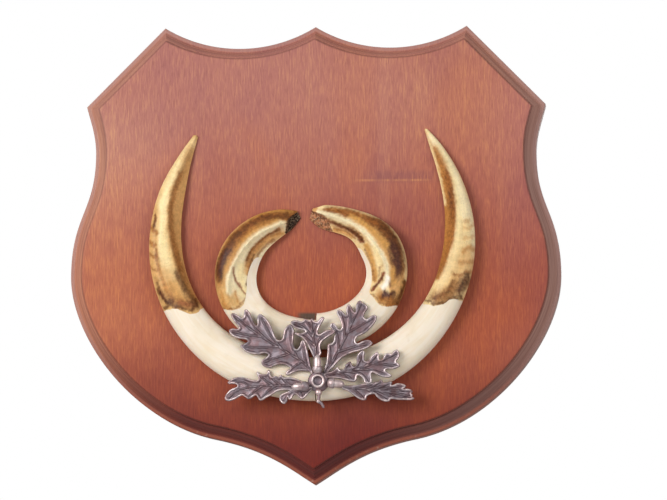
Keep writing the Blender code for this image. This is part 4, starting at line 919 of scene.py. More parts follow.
def moulding_colour(n, place, x, z, inset, colour):
    """Return the board's colour with the moulding's painted light and shade, dark step, lines and scuffed
    lip.
    """
    # Painted highlight: a lighter brown on the ogee at both sides, above the foot.
    lit = n.times(n.span(inset, OGEE_TOP, 6.0, 0, 0.55), n.span(z, -0.1, -0.04),
                  n.span(n.math("ABSOLUTE", x), 0.06, 0.095, 0.15, 1))
    colour = n.mix(lit, colour, MOULDING_HIGHLIGHT_BROWN)
    # Painted shade with a cool painted reflection: the ogee greyer towards the right.
    right = n.math("SUBTRACT", x, n.span(z, 0.02, 0.1, 0, 0.055))
    ogee = n.span(inset, OGEE_TOP, OGEE_INSIDE)
    colour = n.mix(n.times(ogee, n.span(right, 0.02, 0.105, 0, 0.75)), colour, MOULDING_SHADE_GREY)
    # Painted shade: the ogee darker towards the foot.
    colour = n.mix(n.times(ogee, n.span(z, -0.02, -0.1, 0, 0.55)), colour, MOULDING_FOOT_SHADE)
    # The step at the face's edge darker: partly pooled stain, partly painted shade.
    step = n.times(n.span(inset, 7.7, 6.9), n.span(inset, OGEE_INSIDE, 6.5), STEP_STRENGTH)
    colour = n.mix(step, colour, STEP_STAIN_AND_SHADE)
    beside = n.add("ShaderNodeCombineXYZ", {"X": inset, "Y": n.times(z, 14)}).outputs["Vector"]
    lines = n.times(n.span(n.noise(beside, 1.7, 2), 0.45, 0.66, 0, 0.8), n.span(inset, OGEE_TOP, 6.2))
    colour = n.cast(lines, colour, MOULDING_LINE)
    # Painted highlight: the lip greyer and paler towards the top.
    lip_highlight = n.times(n.span(inset, LIP_INSIDE, 1.5), n.span(z, -0.1, 0, 0, 0.4))
    colour = n.mix(lip_highlight, colour, LIP_HIGHLIGHT_GREY)
    warm = n.times(n.span(inset, LIP_INSIDE, 1.3), n.span(z, -0.05, -0.09, 0, 0.65))
    colour = n.mix(warm, colour, LIP_RED)
    scuffs = n.times(n.span(inset, 1.9, 0.9), n.span(n.noise(place, 330, 3), 0.58, 0.75, 0, 0.3))
    return n.mix(scuffs, colour, SCUFF_PALE)


def wood_material():
    """Return red-brown stained hardwood with fine upright grain under a satin lacquer."""
    made, tree, shader = node_material("mahogany_stain")
    n = Nodes(tree)
    place = n.coordinates()
    split = n.add("ShaderNodeSeparateXYZ", {"Vector": place})
    x = split.outputs["X"]
    z = split.outputs["Z"]
    flecks = n.noise(n.scaled(place, (1, 1, 0.1)), 1250, 3, 0.6, 0.2)
    pores = n.noise(n.scaled(place, (1, 1, 0.07)), 2600, 2, 0.6)
    strands = n.noise(n.scaled(place, (1, 1, 0.03)), 210, 3, 0.6, 0.5)
    clouds = n.noise(n.scaled(place, (1, 1, 0.6)), 26, 3, 0.55)
    drifts = n.noise(n.scaled(place, (1, 1, 0.5)), 13, 2, 0.5, 0.6)

    level = n.moved(z, drifts, LEVEL_DRIFT)
    # Redder towards the foot, pinker towards the top, where it is partly a painted sheen.
    colour = n.mix(n.span(level, *FOOT_TO_MIDDLE), FOOT_RED, MIDDLE_RED)
    colour = n.mix(n.span(level, *MIDDLE_TO_TOP), colour, TOP_PINK_SHEEN)
    colour = n.cast(n.span(drifts, 0.42, 0.66, 0, 0.55), colour, ORANGE_CAST)
    colour = n.cast(n.span(clouds, 0.42, 0.7, 0, 0.5), colour, PURPLE_CAST)
    colour = n.cast(n.span(strands, 0.5, 0.75, 0, 0.3), colour, GRAIN_LIGHT)
    strand = n.times(n.near(x, STRAND_MARK_X, 0.005, 0.001), n.span(z, -0.02, 0.03, 0, 0.13))
    colour = n.mix(strand, colour, PALE_STRAND)
    # Painted light: the face paler on its left side.
    left_light = n.times(n.span(x, *LEFT_LIGHT_ACROSS, 0, 0.75), n.span(z, *LEFT_LIGHT_FOOT), n.span(z, *LEFT_LIGHT_TOP))
    colour = n.cast(left_light, colour, LEFT_LIGHT_CAST)
    rub = n.times(n.mark(x, z, RUB_MARK), n.span(flecks, 0.3, 0.6, 0.15, 0.4))
    colour = n.mix(rub, colour, RUB_PURPLE)
    glue = n.times(n.mark(x, z, GLUE_MARK), n.span(clouds, 0.2, 0.6, 0.7, 0.95))
    colour = n.mix(glue, colour, GLUE_BROWN)
    line = n.times(n.mark(x, z, LINE_MARK), n.span(strands, 0.35, 0.6, 0.15, 0.55))
    colour = n.mix(line, colour, ORANGE_LINE)
    colour = n.cast(n.span(flecks, 0.5, 0.68, 0, 0.2), colour, GRAIN_DARK)
    colour = n.cast(n.span(flecks, 0.52, 0.36, 0, 0.55), colour, GRAIN_LIGHT)
    colour = n.cast(n.span(pores, 0.54, 0.7, 0, 0.4), colour, GRAIN_DARK)
    # Painted reflection: the board cooler towards its right side.
    colour = n.cast(n.span(x, *RIGHT_REFLECTION_ACROSS, 0, 0.8), colour, RIGHT_REFLECTION_CAST)
    colour = moulding_colour(n, place, x, z, n.attribute("inset"), colour)

    behind = n.span(n.attribute("behind"), 0.2, 0.8)
    raw = n.mix(n.span(strands, 0.35, 0.65), RAW_BACK, RAW_BACK_PALE)
    raw = n.cast(n.span(flecks, 0.5, 0.68, 0, 0.5), raw, GRAIN_DARK)
    raw = n.mix(n.span(clouds, 0.45, 0.7, 0, 0.4), raw, RAW_BACK_STAIN)
    n.feed(n.mix(behind, colour, raw), shader.inputs["Base Color"])
    rough = n.math("ADD", n.span(flecks, 0.2, 0.8, 0.4, 0.55), n.times(behind, 0.2))
    n.feed(rough, shader.inputs["Roughness"])
    relief = n.math("ADD", flecks, n.times(pores, 0.5))
    n.feed(n.bump(relief, 0.1 * MM, 0.3), shader.inputs["Normal"])
    shader.inputs["Specular IOR Level"].default_value = 0.22
    shader.inputs["Coat Weight"].default_value = 0.03
    shader.inputs["Coat Roughness"].default_value = 0.35
    return made


def station_value(stations, values, share):
    """Return a value between stations on a smooth curve that never overshoots them."""
    gaps = [b - a for a, b in zip(stations, stations[1:])]
    slopes = [(b - a) / gap for a, b, gap in zip(values, values[1:], gaps)]
    tangents = [slopes[0]]
    for before, after in zip(slopes, slopes[1:]):
        same_way = before * after > 0
        tangents.append(2 * before * after / (before + after) if same_way else 0)
    tangents.append(slopes[-1])
    share = min(max(share, stations[0]), stations[-1])
    index = max(i for i in range(len(gaps)) if share >= stations[i] or i == 0)
    t = (share - stations[index]) / gaps[index]
    return (values[index] * (1 + 2 * t) * (1 - t) ** 2 + tangents[index] * gaps[index] * t * (1 - t) ** 2
            + values[index + 1] * t * t * (3 - 2 * t) + tangents[index + 1] * gaps[index] * t * t * (t - 1))


def tusk_spine(tusk):
    """Return (share, point, outward direction) along the centreline, with its root at the origin."""
    point = Vector((0, 0))
    turn = 0.0
    spine = []
    for step in range(SPINE_STEPS + 1):
        share = step / SPINE_STEPS
        heading = Vector((math.cos(turn) * tusk.side, math.sin(turn)))
        outward = Vector((math.sin(turn) * tusk.side, -math.cos(turn)))
        spine.append((share, point.copy(), outward))
        point += heading * tusk.length / SPINE_STEPS
        turn += math.radians(station_value(TURN_STATIONS, tusk.turns, share)) / SPINE_STEPS
    return spine


def spine_at(spine, share):
    """Return the point and outward direction of the spine at any share of its length."""
    place = min(share * SPINE_STEPS, SPINE_STEPS - 1e-6)
    index = int(place)
    _, a, out_a = spine[index]
    _, b, out_b = spine[index + 1]
    return a.lerp(b, place - index), out_a.lerp(out_b, place - index).normalized()


def half_width(tusk, share):
    """Return the tusk's half width at that share of its length."""
    return tusk.root_half_width * station_value(WIDTH_STATIONS, tusk.widths, share)


def top_height(across, thickness):
    """Return the height of a tusk's rounded top above the board, at that place across it."""
    rise = math.sqrt(max(0.0, 1 - across * across)) ** TOP_ROUNDNESS
    return thickness * (WIDEST_HEIGHT_SHARE + (1 - WIDEST_HEIGHT_SHARE) * rise)


def section_points(tusk, share, thickness):
    """Return a ring's (across, height, top) points; top is 1 on the rounded front and 0 underneath."""
    side_height = thickness * WIDEST_HEIGHT_SHARE
    points = []
    crest = station_value(*zip(*tusk.crests), share)
    crest_height = top_height(crest, thickness)
    depth = min(1.0, max(0.0, (share - tusk.facet_start) / FACET_FADE_SHARE))
    for step in range(TOP_STEPS + 1):
        across = math.cos(math.pi * step / TOP_STEPS)
        height = top_height(across, thickness)
        if across < crest and depth:
            along = (crest - across) / (crest + 1)
            facet = crest_height + (side_height - crest_height) * along
            height += (min(height, facet) - height) * depth
        points.append((across, height, 1))
    for step in range(1, FOOT_STEPS):
        angle = math.pi * step / FOOT_STEPS
        foot = 1 - math.sin(angle) ** FOOT_ROUNDNESS
        points.append((-math.cos(angle) * FOOT_WIDTH_SHARE, side_height * foot, 0))
    return points


def flat_route(tusk, route):
    """Return a route as (mm along, mm across) places on the unrolled tusk."""
    places = [(share * tusk.length, across * half_width(tusk, share)) for share, across in route]
    return np.array(places) / MM


def route_gap(places, route):
    """Return each place's distance to a route, all in mm on the unrolled tusk."""
    nearest = np.full(len(places), 1e9)
    for start, end in zip(route, route[1:]):
        run = end - start
        share = np.clip((places - start) @ run / (run @ run), 0, 1)
        gap = places - start - share[:, None] * run
        nearest = np.minimum(nearest, np.hypot(gap[:, 0], gap[:, 1]))
    return nearest


def wander(places, along, across, seed):
    """Return smooth noise from -1 to 1 that turns over that many mm along and across a tusk.

    The noise is cut by a slanting plane, because a level cut shows the grid that it is built on.
    """
    u, v = places[:, 0] / along, places[:, 1] / across
    cut = np.stack((0.83 * u + 0.31 * v, 0.84 * v - 0.34 * u, 0.43 * u + 0.41 * v + seed), 1)
    return np.array([noise.noise(spot) for spot in cut])


def ease(values):
    """Return values eased from 0 to 1."""
    values = np.clip(values, 0, 1)
    return values * values * (3 - 2 * values)


def linear(name):
    """Return a named colour in linear light."""
    share = np.array(COLOURS[name]) / 255
    return np.where(share > 0.04045, ((share + 0.055) / 1.055) ** 2.4, share / 12.92)


def tusk_tint(tusk, places, past_crest, cuts):
    """Return each place's stain in linear light, from how many mm it lies down the worn facet."""
    on_facet = ease(past_crest / CREST_BLEND_MM)[:, None]
    tint = linear(tusk.outer) + (linear(tusk.facet) - linear(tusk.outer)) * on_facet
    seed = tusk.length / MM
    slow = np.stack((wander(places, 7, 3, seed), wander(places, 7, 3, seed + 9)), 1)
    quick = np.stack((wander(places, 1.6, 0.9, seed + 20), wander(places, 1.6, 0.9, seed + 31)), 1)
    moved = places + slow * np.array(SLOW_SHIFT_MM) + quick * np.array(QUICK_SHIFT_MM)
    mottle = 0.8 * wander(places, 1.1, 1.3, seed + 44) + 0.8 * wander(places, 2.6, 1.7, seed + 52)
    strands = 0.5 * wander(places, 14, 2.4, seed + 63)
    for colour, width, strength, route in tusk.strokes:
        share = np.exp(-(route_gap(moved, flat_route(tusk, route)) / width) ** STROKE_EDGE)
        broken_up = mottle if colour in DARK_COLOURS else strands
        share *= strength * np.clip(1.05 + broken_up * (1 - 0.65 * share), 0, 1.15)
        tint += (linear(colour) - tint) * np.clip(share, 0, 1)[:, None]
    return tint + (linear(tusk.break_colour) - tint) * ease(cuts / BREAK_BLEND_MM)[:, None]


def tusk_relief(tusk, places, sides, gum):
    """Return the mm that growth lines, grooves and ridges add to the tusk's smooth form."""
    seed = tusk.length / MM
    relief = 0.08 * wander(places, 13, 1.1, seed) + 0.04 * wander(places, 1.9, 9, seed + 5)
    relief += 0.16 * wander(places, 8, 4, seed + 12)
    shift = np.stack((wander(places, 3, 2, seed), wander(places, 3, 2, seed + 9)), 1)
    moved = places + shift * RELIEF_SHIFT_MM
    for rise, width, route in tusk.reliefs:
        relief += rise * np.exp(-(route_gap(moved, flat_route(tusk, route)) / width) ** 2)
    return relief * np.clip((gum + 1) / 4, 0.12, 1) * np.sqrt(np.clip(1 - sides ** 2, 0, 1))


def tusk_rings(tusk):
    """Return the rings as (share, half width, points), and columns of places with a row for each point.

    The columns are the place along, the place across, that place as a share of the half width, 1 on the
    front or 0 underneath, and how far the point lies past the gum line, the crest and the break line.
    """
    count = round(tusk.length / MM * RINGS_PER_MM)
    rings = []
    rows = []
    for ring in range(count + 1):
        share = ring / count
        half = half_width(tusk, share)
        section = section_points(tusk, share, 2 * half * tusk.thickness_share)
        rings.append((share, half, section))
        crest = station_value(*zip(*tusk.crests), share)
        for across, _, top in section:
            gum = share - station_value(*zip(*tusk.gum_line), across)
            cut = share - station_value(*zip(*tusk.break_line), across) if tusk.break_line else -1
            rows.append((share * tusk.length, across * half, across, top, gum * tusk.length,
                         (crest - across) * half, cut * tusk.length))
    return rings, np.array(rows).T


def tip_closing(tusk, share):
    """Return how much of its width a ring keeps, which is less only where an unbroken tip is rounded."""
    left = (1 - share) * tusk.length
    if left >= TIP_ROUND or tusk.break_line:
        return 1.0
    return max(TIP_SMALLEST_SHARE, math.sqrt(max(0.0, 1 - (1 - left / TIP_ROUND) ** 2)))


def make_tusk(tusk, surface):
    """Loft one tusk finely through rings along its centreline and paint its stains on its points."""
    root = Vector((PAIR_MEETING_X + tusk.side * PAIR_MEETING_GAP / 2, tusk.bottom + tusk.root_half_width))
    face = -(BOARD_THICKNESS + CLEARANCE)
    spine = tusk_spine(tusk)
    rings, columns = tusk_rings(tusk)
    along, out, sides, tops, gums, past_crest, cuts = columns
    places = np.stack((along, out), 1) / MM
    relief = tusk_relief(tusk, places, sides, gums / MM) * tops
    cuts = cuts / MM + 0.7 * wander(places, 50, 0.9, 3.3) + 0.3 * wander(places, 50, 0.3, 8.8)
    tint = tusk_tint(tusk, places, past_crest / MM, cuts)
    jags = 0.55 * wander(places, 0.8, 0.8, 5.1) + 0.3 * wander(places, 0.35, 0.35, 6.4)
    bm = bmesh.new()
    layers = {name: bm.verts.layers.float.new(name) for name in ("along", "across", "gum", "broken")}
    tint_layer = bm.verts.layers.float_color.new("tint")
    loops = []
    number = 0
    for share, half, section in rings:
        point, outward = spine_at(spine, share)
        closing = tip_closing(tusk, share)
        middle = 2 * half * tusk.thickness_share * WIDEST_HEIGHT_SHARE
        loop = []
        for across, height, top in section:
            height = max(0.0, height + relief[number] * MM)
            if top and cuts[number] > 0:
                drop = min(1.0, cuts[number] / BREAK_SLOPE_MM)
                jag = jags[number] * MM * min(1.0, cuts[number] / JAGS_START_MM)
                height = max(height * (1 - BREAK_DROP_SHARE * drop) + jag, BREAK_FLOOR_SHARE * middle)
            rise = middle + (height - middle) * closing
            spot = root + point + outward * across * half * closing
            vert = bm.verts.new((spot.x, face - rise, spot.y))
            vert[layers["along"]] = places[number][0]
            vert[layers["across"]] = places[number][1]
            vert[layers["gum"]] = gums[number] / MM
            vert[layers["broken"]] = cuts[number] if tusk.break_line else -9
            vert[tint_layer] = (*tint[number], 1)
            loop.append(vert)
            number += 1
        loops.append(loop)
    skin(bm, loops)
    made = new_object(tusk.name + "_ivory", bm, surface, TUSK_SHARP)
    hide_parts(tusk.name)
    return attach(made, "root")


def ivory_material():
    """Return tusk ivory: cream at the root, stained and worn where it grew out of the gum."""
    made, tree, shader = node_material("tusk_ivory")
    n = Nodes(tree)
    place = n.coordinates()
    tint = n.add("ShaderNodeAttribute", attribute_name="tint").outputs["Color"]
    sides = {"X": n.attribute("along"), "Y": n.attribute("across")}
    unrolled = n.add("ShaderNodeCombineXYZ", sides).outputs["Vector"]
    lengthwise = n.noise(n.scaled(unrolled, (0.05, 0.45, 1)), 1, 3, 0.5, 0.8)
    crosswise = n.noise(n.scaled(unrolled, (0.3, 0.06, 1)), 1, 1, 0.5, 1.2)
    patches = n.noise(place, 240, 4, 0.6)
    mottle = n.noise(place, 620, 4, 0.65)
    specks = n.noise(place, 1500, 2, 0.5)
    past_gum = n.moved(n.attribute("gum"), patches, 2.2)

    root = n.mix(n.span(lengthwise, 0.3, 0.7), ROOT_CREAM, ROOT_PALE)
    root = n.mix(n.span(n.noise(place, 60, 3), 0.42, 0.75, 0, 0.45), root, ROOT_YELLOWED)
    root = n.mix(n.span(patches, 0.55, 0.75, 0, 0.2), root, ROOT_STAIN)
    dark = n.add("ShaderNodeRGBToBW", {"Color": tint}).outputs["Val"]
    unevenness = n.span(dark, 0.1, 0.5, 0.5, 0.12)
    streaks = n.span(lengthwise, 0.35, 0.7, 1.04, 0.95)
    growth = n.span(crosswise, 0.4, 0.68, 1.03, 0.96)
    grains = n.math("SUBTRACT", 1.07, n.times(n.span(mottle, 0.35, 0.68), unevenness))
    stained = n.mix(1.0, tint, n.times(streaks, growth, grains), "MULTIPLY")
    stained = n.mix(n.span(specks, 0.62, 0.74, 0, 0.3), stained, SPECK_BROWN)

    colour = n.mix(n.span(past_gum, -0.25, 0.35), root, stained)
    broken = n.mix(1.0, tint, n.span(mottle, 0.35, 0.65, 0.35, 1.7), "MULTIPLY")
    broken = n.mix(n.span(specks, 0.54, 0.66, 0, 0.7), broken, BREAK_SPECK)
    ragged = n.moved(n.attribute("broken"), mottle, 1.8)
    colour = n.mix(n.span(ragged, -0.05, 0.25), colour, broken)
    n.feed(colour, shader.inputs["Base Color"])
    rough = n.span(past_gum, -0.5, 3, 0.34, 0.42)
    n.feed(n.math("ADD", rough, n.span(patches, 0.3, 0.8, 0, 0.14)), shader.inputs["Roughness"])
    relief = n.times(n.math("ADD", patches, n.times(mottle, 0.5)), n.span(past_gum, -0.5, 2, 0.12, 1))
    n.feed(n.bump(relief, 0.2 * MM, 0.5), shader.inputs["Normal"])
    shader.inputs["Specular IOR Level"].default_value = 0.18
    shader.inputs["Subsurface Weight"].default_value = 0.1
    shader.inputs["Subsurface Radius"].default_value = (1.0, 0.6, 0.35)
    shader.inputs["Subsurface Scale"].default_value = 1.2 * MM
    shader.inputs["Coat Weight"].default_value = 0.04
    shader.inputs["Coat Roughness"].default_value = 0.22
    return made


def smooth_path(points, steps):
    """Return points on a curve through the given ones, with that many steps between neighbours."""
    ends = [2 * points[0] - points[1]] + points + [2 * points[-1] - points[-2]]
    path = []
    for before, start, end, after in zip(ends, ends[1:], ends[2:], ends[3:]):
        for step in range(steps):
            t = step / steps
            path.append(0.5 * (2 * start + (end - before) * t
                               + (2 * before - 5 * start + 4 * end - after) * t * t
                               + (3 * start - before - 3 * end + after) * t ** 3))
    return path + [points[-1]]


def on_leaf(leaf, drawn):
    """Return a drawn point as (along, out) in metres from the leaf's base."""
    base = Vector(leaf.veins[0][0])
    ahead = Vector(leaf.veins[0][-1]) - base
    place = (Vector(drawn) - base) * leaf.length / ahead.length_squared
    return Vector((place.dot(ahead), place.x * ahead.y - place.y * ahead.x))


def leaf_outline(leaf):
    """Return the leaf's smooth outline, anticlockwise."""
    points = [on_leaf(leaf, drawn) for drawn in leaf.outline]
    if sum(a.x * b.y - a.y * b.x for a, b in zip(points, points[1:] + points[:1])) < 0:
        points.reverse()
    closed = points[-1:] + points + points[:2]
    return smooth_path(closed, LEAF_EDGE_STEPS)[LEAF_EDGE_STEPS:-LEAF_EDGE_STEPS - 1]


def point_tree(points):
    """Return a search tree over 2-D points."""
    tree = KDTree(len(points))
    for index, point in enumerate(points):
        tree.insert((point.x, point.y, 0), index)
    tree.balance()
    return tree


def dense_run(points, spacing):
    """Return points at most spacing apart along a run."""
    length = sum((b - a).length for a, b in zip(points, points[1:]))
    return even_points(points, max(2, math.ceil(length / spacing)))


def gauss(distance, width):
    """Return 1 at no distance, falling smoothly to nearly 0 at twice the width."""
    return math.exp(-(distance / width) ** 2)


def leaf_surface(leaf, place, edge, vein):
    """Return a leaf's front height, its polish, which is partly a painted highlight, and its shade, from its
    distances to edge and vein.
    """
    along = place.x / leaf.length
    spread = abs(place.y) / leaf.length / LEAF_BEND_SPREAD
    height = LEAF_BASE_HEIGHT + LEAF_THICKNESS + leaf.tip_lift * max(0, along) ** DROOP_POWER
    height += leaf.cup * leaf.length * spread ** 2
    share = vein / max(vein + edge, 1e-9)
    height += VEIN_RISE * (1 - VEIN_FADE * min(1, spread)) * (1 - share) ** 1.5
    open_blade = min(1, max(0, (edge - BLADE_START) / BLADE_EASE))
    rim = gauss(edge - RIM_INSET, RIM_WIDTH)
    crest = gauss(vein, CREST_WIDTH) * min(1, edge / CREST_REACH)
    groove = gauss(vein - GROOVE_PLACE, GROOVE_WIDTH) * open_blade
    hollow = math.sin(math.pi * min(1, share)) * min(1, (vein + edge) / HOLLOW_REACH) * open_blade
    ripple = math.cos(2 * math.pi * vein / RIPPLE_SPACING) * math.exp(-vein / RIPPLE_FADE) * open_blade
    height += RIM_RISE * rim - EDGE_DROP * gauss(edge, EDGE_DROP_WIDTH)
    height += CREST_RISE * crest + RIPPLE_RISE * ripple
    height -= GROOVE_DEPTH * groove + HOLLOW_DEPTH * hollow
    height += UNEVEN_RISE * noise.noise((place.x / MM * 0.35, place.y / MM * 0.35, leaf.heading))
    patchy = 0.7 + 0.9 * noise.noise((place.x / MM * 0.5, place.y / MM * 0.5, leaf.length / MM))
    # Polish on rims, crests and ripples: partly rubbed, partly a painted highlight.
    wear_and_highlight = max(rim * min(1, 0.25 + 0.9 * patchy), 0.6 * crest * patchy, 0.45 * max(0, ripple) * patchy)
    shade = max(groove, 0.8 * gauss(edge - SHADE_INSET, SHADE_WIDTH)) * patchy
    return height, wear_and_highlight, shade


def leaf_points(edge, edge_tree):
    """Return the points that a leaf's front is built on: its edge, rows beside it and a grid inside."""
    points = list(edge)
    for inset in EDGE_ROWS:
        for before, point, after in zip(edge[-1:] + edge, edge, edge[1:] + edge[:1]):
            ahead = (after - before).normalized()
            spot = point + Vector((-ahead.y, ahead.x)) * inset
            if edge_tree.find((spot.x, spot.y, 0))[2] > 0.93 * inset:
                points.append(spot)
    low = Vector((min(p.x for p in edge), min(p.y for p in edge)))
    high = Vector((max(p.x for p in edge), max(p.y for p in edge)))
    row = 0
    y = low.y
    while y < high.y:
        x = low.x + (LEAF_SPACING / 2 if row % 2 else 0)
        while x < high.x:
            if edge_tree.find((x, y, 0))[2] > GRID_START:
                points.append(Vector((x, y)))
            x += LEAF_SPACING
        y += LEAF_SPACING * math.sqrt(3) / 2
        row += 1
    return points


def add_leaf(bm, wear_and_highlight_layer, leaf):
    """Model one closed leaf finely, in the casting's own plane."""
    outline = leaf_outline(leaf)
    edge = dense_run(outline + outline[:1], LEAF_SPACING)[:-1]
    edge_tree = point_tree(dense_run(outline + outline[:1], EDGE_SAMPLING)[:-1])
    veins = []
    for route in leaf.veins:
        path = smooth_path([on_leaf(leaf, drawn) for drawn in route], LEAF_EDGE_STEPS)
        veins += dense_run(path, VEIN_SAMPLING)
    vein_tree = point_tree(veins)
    points = leaf_points(edge, edge_tree)
    borders = [(index, (index + 1) % len(edge)) for index in range(len(edge))]
    places, _, faces, _, _, _ = delaunay_2d_cdt(points, borders, [], 1, 1e-7)
    used = sorted({index for face in faces for index in face})
    forward = heading_vector(math.radians(leaf.heading))
    aside = Vector((-forward.y, forward.x))
    front = {}
    back = {}
    for index in used:
        place = places[index]
        edge_distance = edge_tree.find((place.x, place.y, 0))[2]
        vein_distance = vein_tree.find((place.x, place.y, 0))[2]
        height, wear_and_highlight, shade = leaf_surface(leaf, place, edge_distance, vein_distance)
        spot = Vector(leaf.base) + forward * place.x + aside * place.y
        front[index] = bm.verts.new((spot.x, -height, spot.y))
        front[index][wear_and_highlight_layer] = wear_and_highlight - 0.6 * shade * (1 - wear_and_highlight)
        back[index] = bm.verts.new((spot.x, -height + LEAF_THICKNESS, spot.y))
    rims = {}
    for face in faces:
        bm.faces.new([front[index] for index in face])
        bm.faces.new([back[index] for index in reversed(face)])
        for a, b in zip(face, face[1:] + face[:1]):
            rims[(a, b)] = rims.get((a, b), 0) + 1
    for a, b in [pair for pair in rims if (pair[1], pair[0]) not in rims]:
        bm.faces.new((front[b], front[a], back[a], back[b]))


def add_turned(bm, wear_and_highlight_layer, profile, matrix):
    """Turn (radius, height, knurl, wear) points about +Z into a closed form, from the top down."""
    rings = []
    for row, (radius, height, knurl, wear_and_highlight) in enumerate(profile):
        if radius == 0:
            ring = [bm.verts.new(matrix @ Vector((0, 0, height)))]
            ring[0][wear_and_highlight_layer] = wear_and_highlight
        else:
            ring = []
            for side in range(TURNED_SIDES):
                angle = 2 * math.pi * side / TURNED_SIDES
                stud = max(0.0, math.cos(KNURL_STUDS * angle + knurl[1])) * knurl[0]
                out = radius + KNURL_RISE * stud
                vert = bm.verts.new(matrix @ Vector((out * math.cos(angle), out * math.sin(angle), height)))
                vert[wear_and_highlight_layer] = max(wear_and_highlight, stud * 0.8)
                ring.append(vert)
        rings.append(ring)
    for above, below in zip(rings, rings[1:]):
        for side in range(TURNED_SIDES):
            follow = (side + 1) % TURNED_SIDES
            if len(above) == 1:
                bm.faces.new((above[0], below[side], below[follow]))
            elif len(below) == 1:
                bm.faces.new((above[side], below[0], above[follow]))
            else:
                bm.faces.new((above[side], below[side], below[follow], above[follow]))


def knurled(points, steps):
    """Return a smooth knurled run of profile points through (radius, height) points."""
    path = smooth_path([Vector(point) for point in points], steps)
    profile = []
    for index, point in enumerate(path):
        phase = KNURL_ROWS * 2 * math.pi * index / (len(path) - 1)
        strength = (1 - math.cos(phase)) / 2
        shift = math.pi * int(phase / (2 * math.pi))
        # The knurled cups are half polished, which partly stands for a painted highlight.
        profile.append((max(point.x, 0), point.y, (strength, shift), 0.5))
    return profile


def plain(points, steps, wear_and_highlight):
    """Return a smooth plain run of profile points through (radius, height) points."""
    path = smooth_path([Vector(point) for point in points], steps)
    return [(max(point.x, 0), point.y, (0, 0), wear_and_highlight) for point in path]


def add_acorn(bm, wear_and_highlight_layer, x, z, heading, nut_length):
    """Model one acorn that lies on the casting, partly sunk in the boss."""
    nut = [(0, 1), (0.1, 0.985), (0.16, 0.945), (0.4, 0.91), (0.8, 0.72), (0.98, 0.4), (1, 0.02)]
    cup = [(0.9, 1.0), (0.97, 0.93), (1, 0.72), (0.88, 0.34), (0.55, 0.06), (0.2, 0)]
    profile = plain([(radius * ACORN_NUT_RADIUS, ACORN_CUP_LENGTH + height * nut_length * MM)
                     for radius, height in nut], 4, 0.9)
    profile += plain([(ACORN_NUT_RADIUS, ACORN_CUP_LENGTH - 0.05 * MM),
                      (0.76 * ACORN_CUP_RADIUS, ACORN_CUP_LENGTH - 0.25 * MM),
                      (0.84 * ACORN_CUP_RADIUS, ACORN_CUP_LENGTH)], 2, 0.0)
    reach = ACORN_CUP_RADIUS - KNURL_RISE
    profile += knurled([(radius * reach, height * ACORN_CUP_LENGTH) for radius, height in cup], 5)
    profile.append((0, 0, (0, 0), 0))
    seat = BOSS_HEIGHT + ACORN_SEAT_SHARE * ACORN_CUP_RADIUS
    turn = Matrix.Rotation(math.radians(90 - heading), 4, "Y")
    add_turned(bm, wear_and_highlight_layer, profile, Matrix.Translation((x * MM, -seat, z * MM)) @ turn)


def add_empty_cup(bm, wear_and_highlight_layer):
    """Model the empty acorn cup in the middle, open towards the front."""
    mouth = CUP_RADIUS - CUP_WALL
    floor = CUP_HEIGHT - CUP_HOLLOW_DEPTH
    hollow = [(0, 0), (0.45, 0.04), (0.82, 0.25), (0.97, 0.65), (1, 0.93)]
    lip = [(mouth, CUP_HEIGHT - 0.15 * MM), (mouth + 0.35 * MM, CUP_HEIGHT),
           (CUP_RADIUS - 0.3 * MM, CUP_HEIGHT - 0.06 * MM), (CUP_RADIUS, CUP_HEIGHT - 0.5 * MM)]
    outer = [(1, 0.84), (1, 0.7), (0.93, 0.45), (0.7, 0)]
    inner = [(radius * mouth, floor + height * CUP_HOLLOW_DEPTH) for radius, height in hollow]
    profile = plain(inner, 5, 0.0)
    profile += plain(lip, 4, 1.0)
    profile += knurled([(radius * CUP_RADIUS, height * CUP_HEIGHT) for radius, height in outer], 8)
    profile.append((0, 0, (0, 0), 0))
    place = Matrix.Translation((0, -BOSS_HEIGHT * CUP_SEAT_SHARE, 0)) @ Matrix.Rotation(math.pi / 2, 4, "X")
    add_turned(bm, wear_and_highlight_layer, profile, place)


def add_boss(bm, wear_and_highlight_layer):
    """Model the low round boss behind the cup."""
    profile = plain([(0, BOSS_HEIGHT), (0.75 * BOSS_RADIUS, 0.85 * BOSS_HEIGHT),
                     (0.97 * BOSS_RADIUS, 0.5 * BOSS_HEIGHT), (BOSS_RADIUS, 0)], 6, 0.0)
    profile.append((0, 0, (0, 0), 0))
    add_turned(bm, wear_and_highlight_layer, profile, Matrix.Rotation(math.pi / 2, 4, "X"))


def add_tube(bm, wear_and_highlight_layer, route, radii, wear_and_highlight):
    """Model a round closed tube along a route of (x, height, z) points in mm."""
    path = smooth_path([Vector(point) * MM for point in route], 8)
    rings = []
    for index, point in enumerate(path):
        ahead = (path[min(index + 1, len(path) - 1)] - path[max(index - 1, 0)]).normalized()
        side = ahead.cross(Vector((0, 1, 0)))
        side = side.normalized() if side.length > 1e-6 else Vector((1, 0, 0))
        up = side.cross(ahead)
        share = index / (len(path) - 1)
        radius = radii[0] + (radii[1] - radii[0]) * share
        radius *= math.sqrt(max(0.03, 1 - max(0, 1 - (1 - share) * len(path) / 4) ** 2))
        ring = []
        for step in range(STALK_SIDES):
            angle = 2 * math.pi * step / STALK_SIDES
            spot = point + (side * math.cos(angle) + up * math.sin(angle)) * radius * MM
            ring.append(bm.verts.new((spot.x, -spot.y, spot.z)))
            ring[-1][wear_and_highlight_layer] = wear_and_highlight
        rings.append(ring)
    skin(bm, rings)


